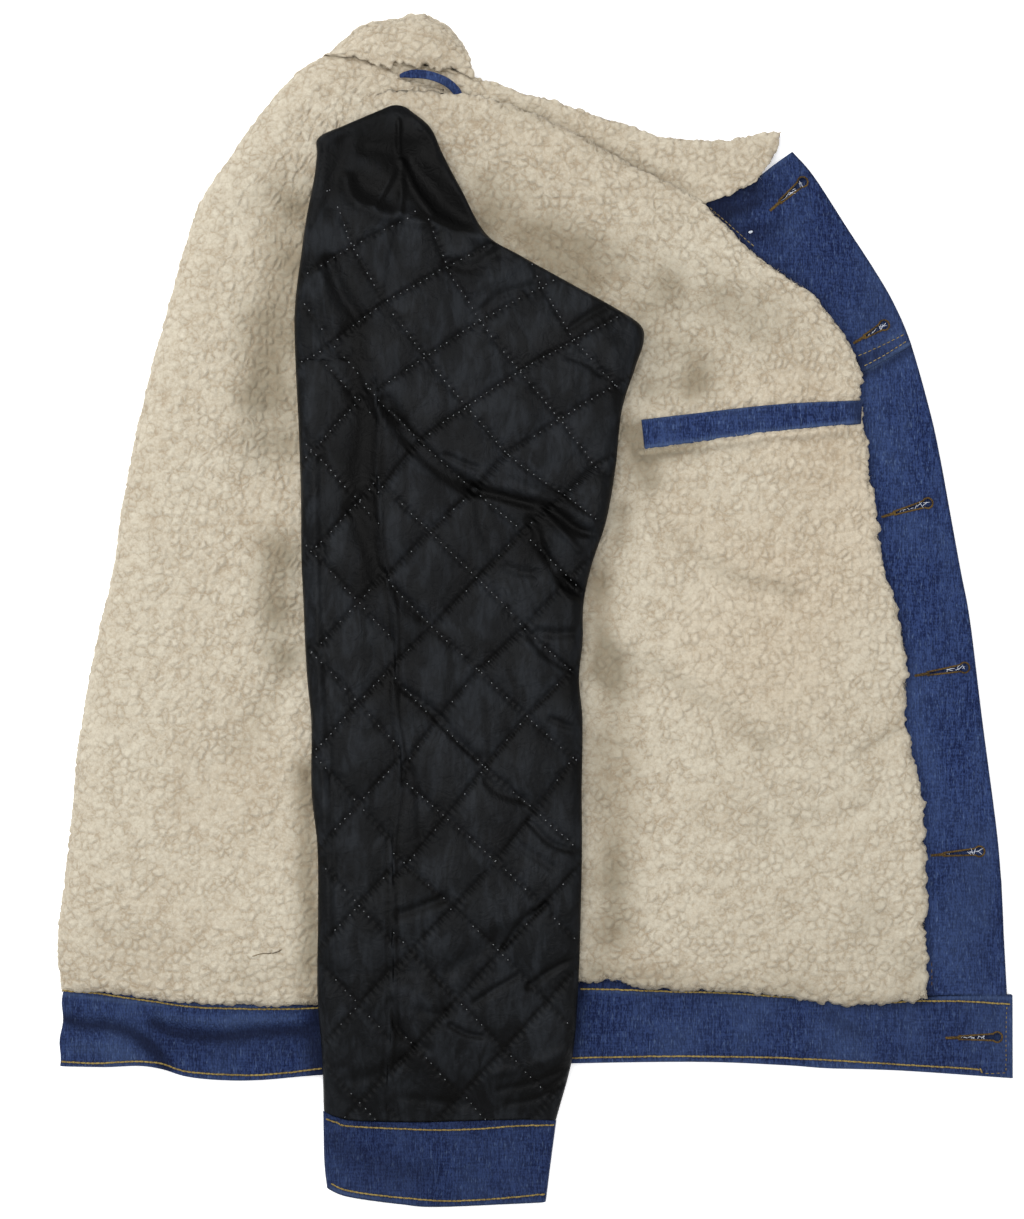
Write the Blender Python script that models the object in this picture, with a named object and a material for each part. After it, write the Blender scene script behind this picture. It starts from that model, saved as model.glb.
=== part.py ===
# A sherpa lined denim jacket, turned inside out, folded in half at the centre back and laid flat.
# X runs from the centre back fold to the front edge, Y from the hem to the neck, Z off the table.
# Lengths are in millimetres until a point goes into a mesh.
import math

import bmesh
import bpy
from mathutils import Vector

MM = 0.001

# Cloth, measured across one wall
PILE = 6.5            # sherpa with its pile
PILE_RIM = 2.0        # sherpa where it is sewn down
FACING = 2.0          # denim facing with its turning
BAND = 3.0            # one leg of the waistband
BAND_LEG_GAP = 0.3    # between its two legs
BAND_TURN = 5.0       # the band turns back within this much of its left end
WELT = 2.2            # pocket welt
LOOP_THICK = 1.4      # hang loop tape
SEAM_GAP = 0.5        # between two pieces at a seam
LAY_GAP = 0.6         # between two layers that lie on each other

# Heights of the pile of layers
CORE = 13.0           # hidden layers in the middle of the body
FRONT_LOW = 3.2       # hidden layers at the front edge
FRONT_REACH = 95.0    # how far in from the front edge they level out
HEM_SHARE = 0.2       # share of that height left at the hem
HEM_REACH = 60.0
NECK_SHARE = 0.5      # share left at the neck seam
NECK_REACH = 45.0
ROLL_LIFT = 2.8       # the near front stands this much higher along its roll
ROLL_REACH = 45.0
RIM_REACH = 7.0       # the pile rounds over this far in from a seam
ROLL_ROUND = 11.0     # and this far in from the roll

# The fold at the centre back
FOLD_ROUND = 22.0     # plan width of the turn
FOLD_BELLY = 7.0      # height at which the fold stands furthest out
FOLD_TUCK = 2.5       # how far it draws in again at the table
FOLD_ANGLES = (-90, -45, 0, 25, 50, 72, 90)
CORE_FOLD_WIDTH = 1.5 # the hidden layers only follow the troughs, more widely
CORE_INSET = 10.0     # the hidden layers stay this far inside the fold
CORE_CORNER = (-273, -226)
CORE_CLEAR = 1.3      # and this far inside the other seams
CORE_EDGE = 2.0       # their height where they start inside the fold
EDGE_LAYERS = [(0.36, 0), (0.5, -0.6), (0.64, 0)]    # the groove between two layers at the rim

# Outlines in plan, as points (x, y) on a smooth line
FOLD_EDGE = [(-120, 335.5), (-143, 321), (-168, 291), (-188, 262), (-203, 240), (-211, 214),
             (-223, 170), (-236, 120), (-248, 66), (-259, 4), (-269, -48), (-277, -115),
             (-283, -165), (-286.5, -202), (-284, -228)]
FRONT_EDGE = [(152.7, 274.8), (166, 260.4), (188, 228), (203, 205), (214.5, 183.6),
              (224.7, 159), (235, 117.6), (247, 57.6), (261, -6), (268.5, -66),
              (278.7, -137), (281.7, -176), (283.5, -230.6)]
LAPEL_SEAM = [(97.5, 244.8), (129, 215), (153, 199), (168, 191), (178, 179), (190.5, 156),
              (195.5, 141.8), (195, 126), (201, 100), (206, 57), (210, 30), (218, -3),
              (223, -40), (226, -75), (232, -105), (235, -140), (236, -190), (237.3, -231)]
YOKE_SHARE = 0.28     # where the yoke seam meets the lapel seam, as a share of its length
YOKE_END = (224.7, 159)
NECK_SEAM = [(-108, 332), (-92, 325.7), (-79.5, 320.6), (-60, 313.2), (-43, 307.7), (-23, 297),
             (-3, 288), (22, 276), (45, 262), (64, 252), (82, 245), (98, 245.5), (111, 249.2),
             (123, 254), (134, 260)]
COLLAR_EDGE = [(-108, 333.6), (-93, 331), (-72, 327), (-51, 324), (-37.5, 319.2), (-7.5, 309.6),
               (26, 299.4), (47, 292.8), (73, 283.8), (97, 281.4), (116, 281.4),
               (137, 286.2), (147, 285.6)]
COLLAR_END = [(134, 260), (139, 265.6), (144.5, 276), (147, 285.6)]
FAR_COLLAR_EDGE = [(-120.5, 338.5), (-97.5, 353.4), (-80.7, 355.2), (-65.7, 358.2),
                   (-53.7, 351.6), (-47.7, 343.8), (-43, 339)]
CREASE = [(-118.5, 336), (-93, 331.8), (-72, 327.8), (-51, 324.8), (-37.5, 320.4)]
FAR_COLLAR_END = [(-37.5, 320.4), (-40.5, 330), (-43, 339)]
ROLL = [(-95.7, 304.2), (-90, 307), (-80, 308.6), (-60, 307.8), (-43, 306.8), (-23.7, 303.5),
        (-2.7, 295.2), (26, 282.6), (49, 269.4), (68, 259.8), (84.3, 252), (97.5, 244.8)]
BACK_NECK_RETURN = [(-44.5, 307.6), (-60, 309.2), (-80, 310.4), (-91, 309), (-97.2, 304.8)]
SIDE_SEAM = [(-95.7, 304.2), (-92, 285), (-88, 200), (-80, 0), (-70, -230)]
HEM_BACK = [(-284, -228), (-261, -229), (-231, -234), (-201, -236.5), (-129, -237),
            (-70, -233.5)]
HEM_FRONT = [(-70, -233.5), (26, -225.5), (69, -228), (123, -226.5), (159, -228.5),
             (189, -233.5), (219, -233), (237.3, -231)]
BAND_TOP = [(-285, -228.8), (-261, -229.9), (-231, -234.9), (-201, -237.4), (-129, -237.9),
            (-70, -234.4), (26, -226.4), (69, -228.9), (123, -227.4), (159, -229.4),
            (189, -234.4), (219, -233.9), (250, -231.6), (286, -231.4)]
BAND_BOTTOM = [(-285.3, -273.6), (-240, -273.5), (-221, -274.5), (-200, -280), (-170, -281.4),
               (-128, -278.4), (-50, -273.6), (26, -271.2), (99, -270), (159, -271.2),
               (219, -274.8), (285, -280.2)]
FACING_TOP = [(98, 244), (111, 247.9), (123, 252.6), (133, 258.8), (143, 266.9), (152.7, 274.8)]
CORE_TOP = [(-111, 327), (-92, 323), (-62, 311), (-43, 304.5), (-23, 294), (-3, 285),
            (22, 273), (45, 259), (64, 249), (82, 242.5), (97, 242), (111, 246), (123, 251),
            (134, 257), (151.4, 271.5)]

# Soft troughs (below 0) and ridges in the body: line of each, its half width and its height
BODY_FOLDS = [
    {"line": [(-33, 267), (15, 225), (63, 186), (93, 144)], "width": 24, "height": -3.4},
    {"line": [(0, 275), (95, 205), (160, 165)], "width": 22, "height": 1.6},
    {"line": [(64, 80), (110, 25), (160, 6)], "width": 17, "height": -2.2},
    {"line": [(64, -30), (112, -66)], "width": 16, "height": -1.9},
    {"line": [(140, -122), (196, -106)], "width": 17, "height": -1.5},
    {"line": [(60, 20), (120, -20), (190, -60)], "width": 24, "height": 1.2},
    {"line": [(-186, -90), (-158, -48), (-142, 10)], "width": 18, "height": -2.0},
    {"line": [(-150, 190), (-158, 80)], "width": 20, "height": -2.6},
    {"line": [(-205, 150), (-225, 0), (-235, -130)], "width": 30, "height": 1.3},
]

# Sections across the sleeve, from the cap to the cuff: where its left and right folds lie,
# how thick it lies and how much its middle hangs below the line between the folds
SLEEVE_ROWS = [
    {"left": (-93, 300.4), "right": (-74, 299.8), "thick": 7, "sag": 0},
    {"left": (-113, 290.5), "right": (-62.5, 288.5), "thick": 10, "sag": -4},
    {"left": (-128, 284), "right": (-55.5, 271), "thick": 12, "sag": -4},
    {"left": (-131.5, 272), "right": (-43.5, 252), "thick": 13, "sag": -3},
    {"left": (-134.5, 257), "right": (-29, 223), "thick": 14, "sag": -2},
    {"left": (-137, 242), "right": (-8, 211), "thick": 14, "sag": -1},
    {"left": (-139, 226), "right": (22, 194.5), "thick": 14, "sag": 0},
    {"left": (-141, 210), "right": (50, 179), "thick": 14, "sag": 0},
    {"left": (-142, 195), "right": (65, 165.5), "thick": 14, "sag": 0},
    {"left": (-143, 176), "right": (61.5, 148), "thick": 14, "sag": 0},
    {"left": (-143, 144), "right": (51, 121), "thick": 14, "sag": 0},
    {"left": (-142.5, 106), "right": (48, 86), "thick": 14, "sag": 0},
    {"left": (-141, 64), "right": (43.5, 52), "thick": 14, "sag": 0},
    {"left": (-139.5, 28), "right": (33, 24), "thick": 13.5, "sag": 0},
    {"left": (-137.5, -18), "right": (27.3, -18), "thick": 13, "sag": 0},
    {"left": (-135.5, -66), "right": (28, -66), "thick": 12.5, "sag": 0},
    {"left": (-133, -114), "right": (28.5, -114), "thick": 12, "sag": 0},
    {"left": (-131, -170), "right": (28.5, -170), "thick": 12, "sag": 0},
    {"left": (-129, -228), "right": (26.3, -228), "thick": 11.5, "sag": 0},
    {"left": (-127.5, -266), "right": (22, -268), "thick": 11, "sag": 0},
    {"left": (-125.8, -301), "right": (12.8, -305.5), "thick": 8.4, "sag": 0},
]
SLEEVE_FOLDS = [
    {"line": [(-92, 272), (-66, 250), (-40, 230)], "width": 15, "height": -5.5},
    {"line": [(-112, 262), (-88, 235), (-30, 210)], "width": 13, "height": 1.6},
    {"line": [(-22, 92), (18, 66), (44, 50)], "width": 14, "height": -2.4},
    {"line": [(-118, 200), (-112, 60), (-108, -60)], "width": 16, "height": -1.6},
]
SLEEVE_ROUND = 8.0        # the folds of the sleeve round over this far in
SLEEVE_WALL = 5.2         # quilted lining and the shell inside it
SLEEVE_END_WALL = 2.6     # the same where it is sewn to the cuff
SLEEVE_END_REACH = 12.0   # over this length
HOLLOW_LEAST = 0.4        # half height of the hollow where the sleeve lies flattest
SLEEVE_HOLLOW_TOP = 120.0 # the cap above this lies shut
SLEEVE_HOLLOW_ROWS = 9
HOLLOW_SIDES = 8          # points along each side of the hollow
SLEEVE_END_FIT = -262.0   # below this the rows bend to the line of the cuff
SLEEVE_DROP_TOP = -215.0  # past the hem the sleeve comes down to the table
SLEEVE_DROP_END = -330.0
QUILT_ACROSS = 27.6       # from one stitch crossing to the next, across the sleeve
QUILT_ALONG = 28.4        # and along it
QUILT_DATUM = (-33.9, -36.0)
QUILT_PUFF = 2.4
QUILT_COLUMNS = range(-8, 8)
LOWER_COLUMNS = 6         # the side that lies on the body is plain

CUFF_TOP = [(-126, -301.6), (-116, -305.2), (-102, -307.4), (-62.7, -308.2), (-2.7, -306),
            (12.6, -306)]
CUFF_BOTTOM = [(-122.7, -346.2), (-110.7, -350.4), (-80.7, -355.6), (-56.7, -358), (6.3, -354.6)]
CUFF_LEFT = [(-126, -301.6), (-125.6, -330), (-122.7, -346.2)]
CUFF_RIGHT = [(12.6, -306), (9.8, -330), (6.3, -354.6)]
CUFF_THICK = 7.4
CUFF_WALL = 2.4
CUFF_ROUND = 3.7
CUFF_COLUMNS = 16
CUFF_ROWS = 6

BUTTONHOLES = {           # inner end and eye end of each keyhole
    "facing_yoke": [((143, 241.5), (161, 257.4)), ((192.5, 161.2), (210.2, 171.6))],
    "facing_front": [((211, 57.1), (236, 64.6)), ((231, -38.3), (258.2, -34)),
                     ((240.5, -146.2), (267.4, -144.3))],
    "waistband": [((250.2, -256.2), (277.8, -255.7))],
}
EYE_RADIUS = 1.9
EYE_SIDES = 8
SLIT_HALF = 0.6
CUTTER_HIGH = 30.0

WELT_TOP = [(64, 114.6), (92.7, 118.8), (144.3, 125.4), (190.5, 128.4)]
WELT_BOTTOM = [(66, 98.4), (99.9, 103.8), (129.3, 108.4), (157.5, 111.4), (190.5, 114.6)]

COLLAR_PILE = 7.6         # hidden collar layers at the centre back
COLLAR_POINT_DROP = 2.6   # and how much lower they are at the collar point
COLLAR_LAYERS = [(0.62, 0), (0.7, -0.7), (0.78, 0)]
LUMP_LOW = 5.5            # rim of the far collar
LUMP_RISE = 17.0          # and how high it stands over that
LUMP_LAYERS = [(0.3, 0), (0.5, -0.9), (0.7, 0)]

LOOP_LINE = [(-79, 318.4, 16.6), (-76.5, 319.3, 19.5), (-71, 320.8, 22.2), (-63, 321.2, 23.2),
             (-54.5, 318.2, 22.6), (-48.5, 313.8, 20.4), (-46, 310.6, 16.9)]
LOOP_WIDTH = 5.0

COLORS = {
    "sherpa": (0.72, 0.62, 0.47, 1),
    "denim": (0.045, 0.085, 0.22, 1),
    "satin": (0.012, 0.013, 0.016, 1),
}


def clear_scene():
    for thing in list(bpy.data.objects):
        bpy.data.objects.remove(thing, do_unlink=True)


def new_collection(name):
    group = bpy.data.collections.new(name)
    bpy.context.scene.collection.children.link(group)
    return group


def cloth_material(name, color, roughness):
    material = bpy.data.materials.new(name)
    material.use_nodes = True
    shader = material.node_tree.nodes["Principled BSDF"]
    shader.inputs["Base Color"].default_value = color
    shader.inputs["Roughness"].default_value = roughness
    shader.inputs["Metallic"].default_value = 0.0
    return material


def clamp(value, low=0.0, high=1.0):
    return min(max(value, low), high)


def level_out(share):
    """A ramp from 0 that rounds off level at 1."""
    return 1 - (1 - clamp(share)) ** 2


def quarter_round(share):
    """The height of a quarter circle over its base."""
    return math.sqrt(max(0.0, 1 - (1 - clamp(share)) ** 2))


def ease(share):
    share = clamp(share)
    return share * share * (3 - 2 * share)


class Line:
    """A smooth line through a few points, read by its share of length."""

    STEPS = 12

    def __init__(self, points):
        ends = [Vector(p) for p in points]
        ends = [ends[0] * 2 - ends[1]] + ends + [ends[-1] * 2 - ends[-2]]
        self.points = [ends[1]]
        for before, start, end, after in zip(ends, ends[1:], ends[2:], ends[3:]):
            self.points += [self.spline(before, start, end, after, k / self.STEPS)
                            for k in range(1, self.STEPS + 1)]
        self.lengths = [0.0]
        for start, end in zip(self.points, self.points[1:]):
            self.lengths.append(self.lengths[-1] + (end - start).length)
        self.length = self.lengths[-1]

    @staticmethod
    def spline(before, start, end, after, t):
        out, into = (end - before) / 2, (after - start) / 2
        return (start * (2 * t ** 3 - 3 * t ** 2 + 1) + out * (t ** 3 - 2 * t ** 2 + t)
                + end * (3 * t ** 2 - 2 * t ** 3) + into * (t ** 3 - t ** 2))

    def at(self, share):
        reach = clamp(share) * self.length
        for k in range(1, len(self.points)):
            if reach <= self.lengths[k]:
                span = self.lengths[k] - self.lengths[k - 1]
                part = (reach - self.lengths[k - 1]) / span if span else 0.0
                return self.points[k - 1].lerp(self.points[k], part)
        return self.points[-1].copy()

    def beside(self, share, distance):
        """A place to the left of the line, seen along it in plan."""
        run = (self.at(share + 0.01) - self.at(share - 0.01)).normalized()
        return self.at(share) + Vector((-run.y, run.x)) * distance

    def part(self, start, end):
        """The stretch of this line between two shares, read in the same way."""
        return lambda share: self.at(start + (end - start) * share)

    def crossing(self, value, axis):
        """The other coordinate where this line passes a value of x (axis 0) or y (axis 1)."""
        first, last = self.points[0][axis], self.points[-1][axis]
        value = clamp(value, min(first, last), max(first, last))
        for start, end in zip(self.points, self.points[1:]):
            if (start[axis] - value) * (end[axis] - value) <= 0 and start[axis] != end[axis]:
                part = (value - start[axis]) / (end[axis] - start[axis])
                return start.lerp(end, part)[1 - axis]
        return self.points[-1][1 - axis]

    def distance(self, x, y):
        best = float("inf")
        spot = Vector((x, y))
        for start, end in zip(self.points, self.points[1:]):
            run = end - start
            along = clamp((spot - start).dot(run) / run.length_squared)
            best = min(best, (start + run * along - spot).length)
        return best


def patch(top, bottom, left, right):
    """A function of (u, v) that fills the space between four edges; v is 1 at the top."""
    corner = (bottom(0), bottom(1), top(0), top(1))

    def place(u, v):
        flat = corner[0].lerp(corner[1], u).lerp(corner[2].lerp(corner[3], u), v)
        return bottom(u).lerp(top(u), v) + left(v).lerp(right(v), u) - flat

    return place


def stations(length, step, start_rim=(), end_rim=()):
    """Shares of a length about a step apart, with closer ones at an edge that rounds over."""
    inner = (start_rim[-1] if start_rim else 0.0, length - (end_rim[-1] if end_rim else 0.0))
    count = max(1, round((inner[1] - inner[0]) / step))
    even = [inner[0] + (inner[1] - inner[0]) * k / count for k in range(count + 1)]
    spots = ([0.0] if start_rim else []) + list(start_rim[:-1]) + even
    spots += [length - d for d in reversed(end_rim[:-1])] + ([length] if end_rim else [])
    return [spot / length for spot in spots]


fold_line, front_line = Line(FOLD_EDGE), Line(FRONT_EDGE)
neck_line, roll_line = Line(NECK_SEAM), Line(ROLL)
lapel_line, band_top_line = Line(LAPEL_SEAM), Line(BAND_TOP)
cuff_line = Line(CUFF_TOP)
body_folds = [dict(fold, route=Line(fold["line"])) for fold in BODY_FOLDS]
sleeve_folds = [dict(fold, route=Line(fold["line"])) for fold in SLEEVE_FOLDS]
core_folds = [dict(fold, width=fold["width"] * CORE_FOLD_WIDTH)
              for fold in body_folds if fold["height"] < 0]


def fold_height(folds, x, y):
    """The sum of the soft troughs and ridges at a place."""
    total = 0.0
    for fold in folds:
        away = fold["route"].distance(x, y) / fold["width"]
        if away < 2.5:
            total += fold["height"] * math.exp(-away * away)
    return total


def base_height(x, y, folds=body_folds):
    """The height that the body's layers lie at, with their folds."""
    front = level_out((front_line.crossing(y, 1) - x) / FRONT_REACH)
    hem = level_out((y - band_top_line.crossing(x, 0)) / HEM_REACH)
    height = FRONT_LOW + (CORE - FRONT_LOW) * front * (HEM_SHARE + (1 - HEM_SHARE) * hem)
    return height + fold_height(folds, x, y) * front * hem


def neck_height(x, y, folds=body_folds):
    """The same, thinned towards the neck seam."""
    below = NECK_SHARE + (1 - NECK_SHARE) * level_out((neck_line.crossing(x, 0) - y) / NECK_REACH)
    return (base_height(x, y, folds) - FRONT_LOW) * below + FRONT_LOW


def roll_height(x, y):
    """The under side of the near front, which lifts along its roll."""
    below = level_out((roll_line.crossing(x, 0) - y) / ROLL_REACH)
    return base_height(x, y) + LAY_GAP + ROLL_LIFT * (1 - below)


def pile_thickness(distance, reach):
    return PILE_RIM + (PILE - PILE_RIM) * quarter_round(distance / reach)


def finish_object(bm, name, material, group):
    bmesh.ops.recalc_face_normals(bm, faces=bm.faces)
    mesh = bpy.data.meshes.new(name)
    bm.to_mesh(mesh)
    bm.free()
    mesh.materials.append(material)
    mesh.shade_smooth()
    mesh.set_sharp_from_angle(angle=math.radians(40))
    thing = bpy.data.objects.new(name, mesh)
    group.objects.link(thing)
    return thing


def cloth_wall(name, columns, rows, place, material, group, layers=()):
    """A wall of cloth: one grid for each face, joined round the rim.

    place(column, row, side) gives a point, with side 0 for the under face and 1 for the upper.
    layers gives each loop let into the rim, as a share of its height and how far it stands out.
    """
    bm = bmesh.new()
    bmesh.ops.create_grid(bm, x_segments=len(columns) - 1, y_segments=len(rows) - 1, size=0.5)
    under = list(bm.verts)
    grown = bmesh.ops.extrude_face_region(bm, geom=bm.faces[:], use_keep_orig=True)
    upper = [v for v in grown["geom"] if isinstance(v, bmesh.types.BMVert)]
    for side, verts in enumerate((under, upper)):
        for vert in verts:
            column = columns[round((vert.co.x + 0.5) * (len(columns) - 1))]
            row = rows[round((vert.co.y + 0.5) * (len(rows) - 1))]
            vert.co = Vector(place(column, row, side)) * MM
    if layers:
        low = set(under)
        rim = [e for e in bm.edges if (e.verts[0] in low) != (e.verts[1] in low)]
        feet = [next(v for v in e.verts if v in low).co.copy() for e in rim]
        heads = [next(v for v in e.verts if v not in low).co.copy() for e in rim]
        parted = bmesh.ops.subdivide_edges(bm, edges=rim, cuts=len(layers))
        bmesh.ops.recalc_face_normals(bm, faces=bm.faces)
        bm.normal_update()
        for vert in [v for v in parted["geom_inner"] if isinstance(v, bmesh.types.BMVert)]:
            nearest = min(range(len(feet)),
                          key=lambda k: (vert.co - feet[k]).length + (heads[k] - vert.co).length
                          - (heads[k] - feet[k]).length)
            foot, head = feet[nearest], heads[nearest]
            share = (vert.co - foot).length / (head - foot).length
            loop = min(range(len(layers)),
                       key=lambda k: abs(share - (k + 1) / (len(layers) + 1)))
            out = Vector((vert.normal.x, vert.normal.y, 0)).normalized()
            vert.co = foot.lerp(head, layers[loop][0]) + out * layers[loop][1] * MM
    return finish_object(bm, name, material, group)


def make_hidden_layers(material, group):
    """Shell of both halves, far lining and far facing, laid on each other as one rounded pile."""
    corner = (FRONT_EDGE[-1][0] - CORE_CLEAR, FRONT_EDGE[-1][1] + CORE_CLEAR)
    left = Line([CORE_TOP[0]] + [fold_line.beside(k / 12, CORE_INSET) for k in range(1, 12)]
                + [CORE_CORNER])
    right = Line([CORE_TOP[-1]] + [(x - CORE_CLEAR, y) for x, y in FRONT_EDGE[1:-1]] + [corner])
    bottom = Line([CORE_CORNER] + [(x, y + CORE_CLEAR) for x, y in HEM_BACK[2:-1] + HEM_FRONT[:-1]]
                  + [corner])
    plan = patch(Line(CORE_TOP).at, bottom.at, lambda v: left.at(1 - v), lambda v: right.at(1 - v))

    def place(u, v, side):
        spot = plan(u, v)
        if not side:
            return spot.x, spot.y, 0.0
        inside = (spot - plan(0, v)).length
        height = neck_height(spot.x, spot.y, core_folds)
        turned = CORE_EDGE + (height - CORE_EDGE) * quarter_round((inside + CORE_CLEAR) / FOLD_ROUND)
        return spot.x, spot.y, turned

    columns = [0, 0.012, 0.03, 0.06] + [0.1 + 0.9 * k / 21 for k in range(22)]
    rows = stations(fold_line.length, 25)
    return cloth_wall("hidden_layers", columns, rows, place, material, group, layers=EDGE_LAYERS)


def make_lining_back(material, group):
    """Back lining, which turns round the centre back fold down to the table."""
    seam = [(x - SEAM_GAP, y) for x, y in SIDE_SEAM[1:-1]]
    right = Line(BACK_NECK_RETURN + seam + [(HEM_BACK[-1][0] - SEAM_GAP, HEM_BACK[-1][1])])
    top = Line([FOLD_EDGE[0]] + [(x, y - 2 * SEAM_GAP) for x, y in NECK_SEAM[:4]]
               + [BACK_NECK_RETURN[0]])
    bottom = Line(HEM_BACK[:-1] + [right.points[-1]])
    plan = patch(top.at, bottom.at, lambda v: fold_line.at(1 - v), lambda v: right.at(1 - v))

    def place(column, v, side):
        start, end = plan(0, v), plan(1, v)
        width = (end - start).length
        neck, hem = (1 - v) * fold_line.length, v * fold_line.length
        thick = pile_thickness(min(neck, hem), RIM_REACH)
        if column > 0:
            u = (FOLD_ROUND + (width - FOLD_ROUND) * column) / width
            spot = plan(u, v)
            height = neck_height(spot.x, spot.y) + LAY_GAP
            return spot.x, spot.y, height + (thick if side else 0.0)
        edge = plan(FOLD_ROUND / width, v)
        top_height = neck_height(edge.x, edge.y) + LAY_GAP + (thick if side else 0.0)
        angle = math.radians(FOLD_ANGLES[column])
        belly = min(FOLD_BELLY, 0.4 * top_height)
        inset = 0.0 if side else thick
        if angle <= 0:
            offset = inset + FOLD_TUCK * math.sin(angle) ** 2
            height = belly * (1 + math.sin(angle))
        else:
            offset = inset + (FOLD_ROUND - inset) * (1 - math.cos(angle))
            height = belly + (top_height - belly) * math.sin(angle)
        spot = plan(offset / width, v)
        return spot.x, spot.y, height

    columns = list(range(-len(FOLD_ANGLES), 0)) + [k / 8 for k in range(1, 9)]
    corner = 1 - Line(BACK_NECK_RETURN).length / right.length
    rows = sorted(stations(fold_line.length, 23, (2.5, 7), (2.5, 7))
                  + [corner - 0.02, corner - 0.006, corner, corner + 0.006])
    return cloth_wall("lining_back", columns, rows, place, material, group)


def lapel_rows():
    """Rows of the near front, one of them where the yoke seam ends."""
    above = [YOKE_SHARE * k / 9 for k in range(10)]
    below = [YOKE_SHARE + (1 - YOKE_SHARE) * k / 20 for k in range(1, 21)]
    return above, below


def make_lining_front(material, group):
    """Near front lining, with its roll along the neck."""
    corner = (HEM_FRONT[0][0] + SEAM_GAP, HEM_FRONT[0][1])
    left = Line([ROLL[0]] + SIDE_SEAM[1:-1] + [corner])
    top, bottom = Line(ROLL), Line([corner] + HEM_FRONT[1:])
    plan = patch(top.at, bottom.at, lambda v: left.at(1 - v), lambda v: lapel_line.at(1 - v))

    def place(u, v, side):
        spot = plan(u, v)
        height = roll_height(spot.x, spot.y)
        if side:
            to_lapel = (plan(1, v) - spot).length
            to_hem, to_roll = (plan(u, 0) - spot).length, (plan(u, 1) - spot).length
            height += min(pile_thickness(min(to_lapel, to_hem), RIM_REACH),
                          pile_thickness(to_roll, ROLL_ROUND))
        return spot.x, spot.y, height

    above, below = lapel_rows()
    length = lapel_line.length
    shares = sorted(above + below[:-1] + [2.5 / length, 6.5 / length]
                    + [1 - 2.5 / length, 1 - 7 / length, 1.0])
    rows = [1 - share for share in reversed(shares)]
    columns = stations(270, 18, (), (2.5, 7))
    return cloth_wall("lining_front", columns, rows, place, material, group)


def facing_part(name, start, end, top, bottom, material, group):
    """A stretch of the facing between two shares of the lapel seam."""
    above, below = lapel_rows()
    shares = above if start == 0 else [YOKE_SHARE] + below
    inner_length = lapel_line.length * (end - start)
    outer = Line([top.points[-1]] + [Vector(p) for p in FRONT_EDGE
                 if bottom.points[-1].y + 3 < p[1] < top.points[-1].y - 3] + [bottom.points[-1]])
    inner = lapel_line.part(start, end)
    plan = patch(top.at, bottom.at, lambda v: inner(1 - v), lambda v: outer.at(1 - v))

    def place(u, v, side):
        width = (plan(1, v) - plan(0, v)).length
        spot = plan(SEAM_GAP / width + u * (1 - SEAM_GAP / width), v)
        height = base_height(spot.x, spot.y) + LAY_GAP
        return spot.x, spot.y, height + (FACING if side else 0.0)

    rows = [1 - (share - start) / (end - start) for share in reversed(shares)]
    rows[0] = SEAM_GAP / 2 / inner_length
    rows[-1] = 1 - SEAM_GAP / 2 / inner_length
    return cloth_wall(name, [0, 0.3, 0.6, 0.85, 1], rows, place, material, group)


def make_facings(material, group, cutters):
    """The front facing in its two lapped lengths, with a keyhole cut for each button."""
    yoke = Line([tuple(lapel_line.at(YOKE_SHARE)), YOKE_END])
    bottom = Line([LAPEL_SEAM[-1], FRONT_EDGE[-1]])
    upper = facing_part("facing_yoke", 0, YOKE_SHARE, Line(FACING_TOP), yoke, material, group)
    lower = facing_part("facing_front", YOKE_SHARE, 1, yoke, bottom, material, group)
    for part in (upper, lower):
        cut_keyholes(part, cutters)


def cut_keyholes(part, cutters):
    """Cut a slit with a round eye for each button, through the near leg only on the band."""
    for number, (tail, eye) in enumerate(BUTTONHOLES[part.name]):
        tail, eye = Vector(tail), Vector(eye)
        along = (eye - tail).normalized()
        across = Vector((-along.y, along.x))
        turn = math.asin(SLIT_HALF / EYE_RADIUS)
        outline = [tail + across * SLIT_HALF, tail - across * SLIT_HALF]
        for k in range(EYE_SIDES + 1):
            angle = -math.pi + turn + (2 * math.pi - 2 * turn) * k / EYE_SIDES
            outline.append(eye + along * EYE_RADIUS * math.cos(angle)
                           + across * EYE_RADIUS * math.sin(angle))
        bm = bmesh.new()
        low = BAND + BAND_LEG_GAP / 2 if part.name == "waistband" else -CUTTER_HIGH
        verts = [bm.verts.new((p.x * MM, p.y * MM, low * MM)) for p in outline]
        grown = bmesh.ops.extrude_face_region(bm, geom=[bm.faces.new(verts)], use_keep_orig=True)
        lifted = [v for v in grown["geom"] if isinstance(v, bmesh.types.BMVert)]
        bmesh.ops.translate(bm, verts=lifted, vec=(0, 0, (CUTTER_HIGH - low) * MM))
        cutter = finish_object(bm, f"{part.name}_keyhole_{number + 1}",
                               part.data.materials[0], cutters)
        cutter.hide_render = True
        cutter.display_type = "WIRE"
        cut = part.modifiers.new(f"keyhole {number + 1}", "BOOLEAN")
        cut.operation = "DIFFERENCE"
        cut.solver = "EXACT"
        cut.object = cutter


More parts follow.
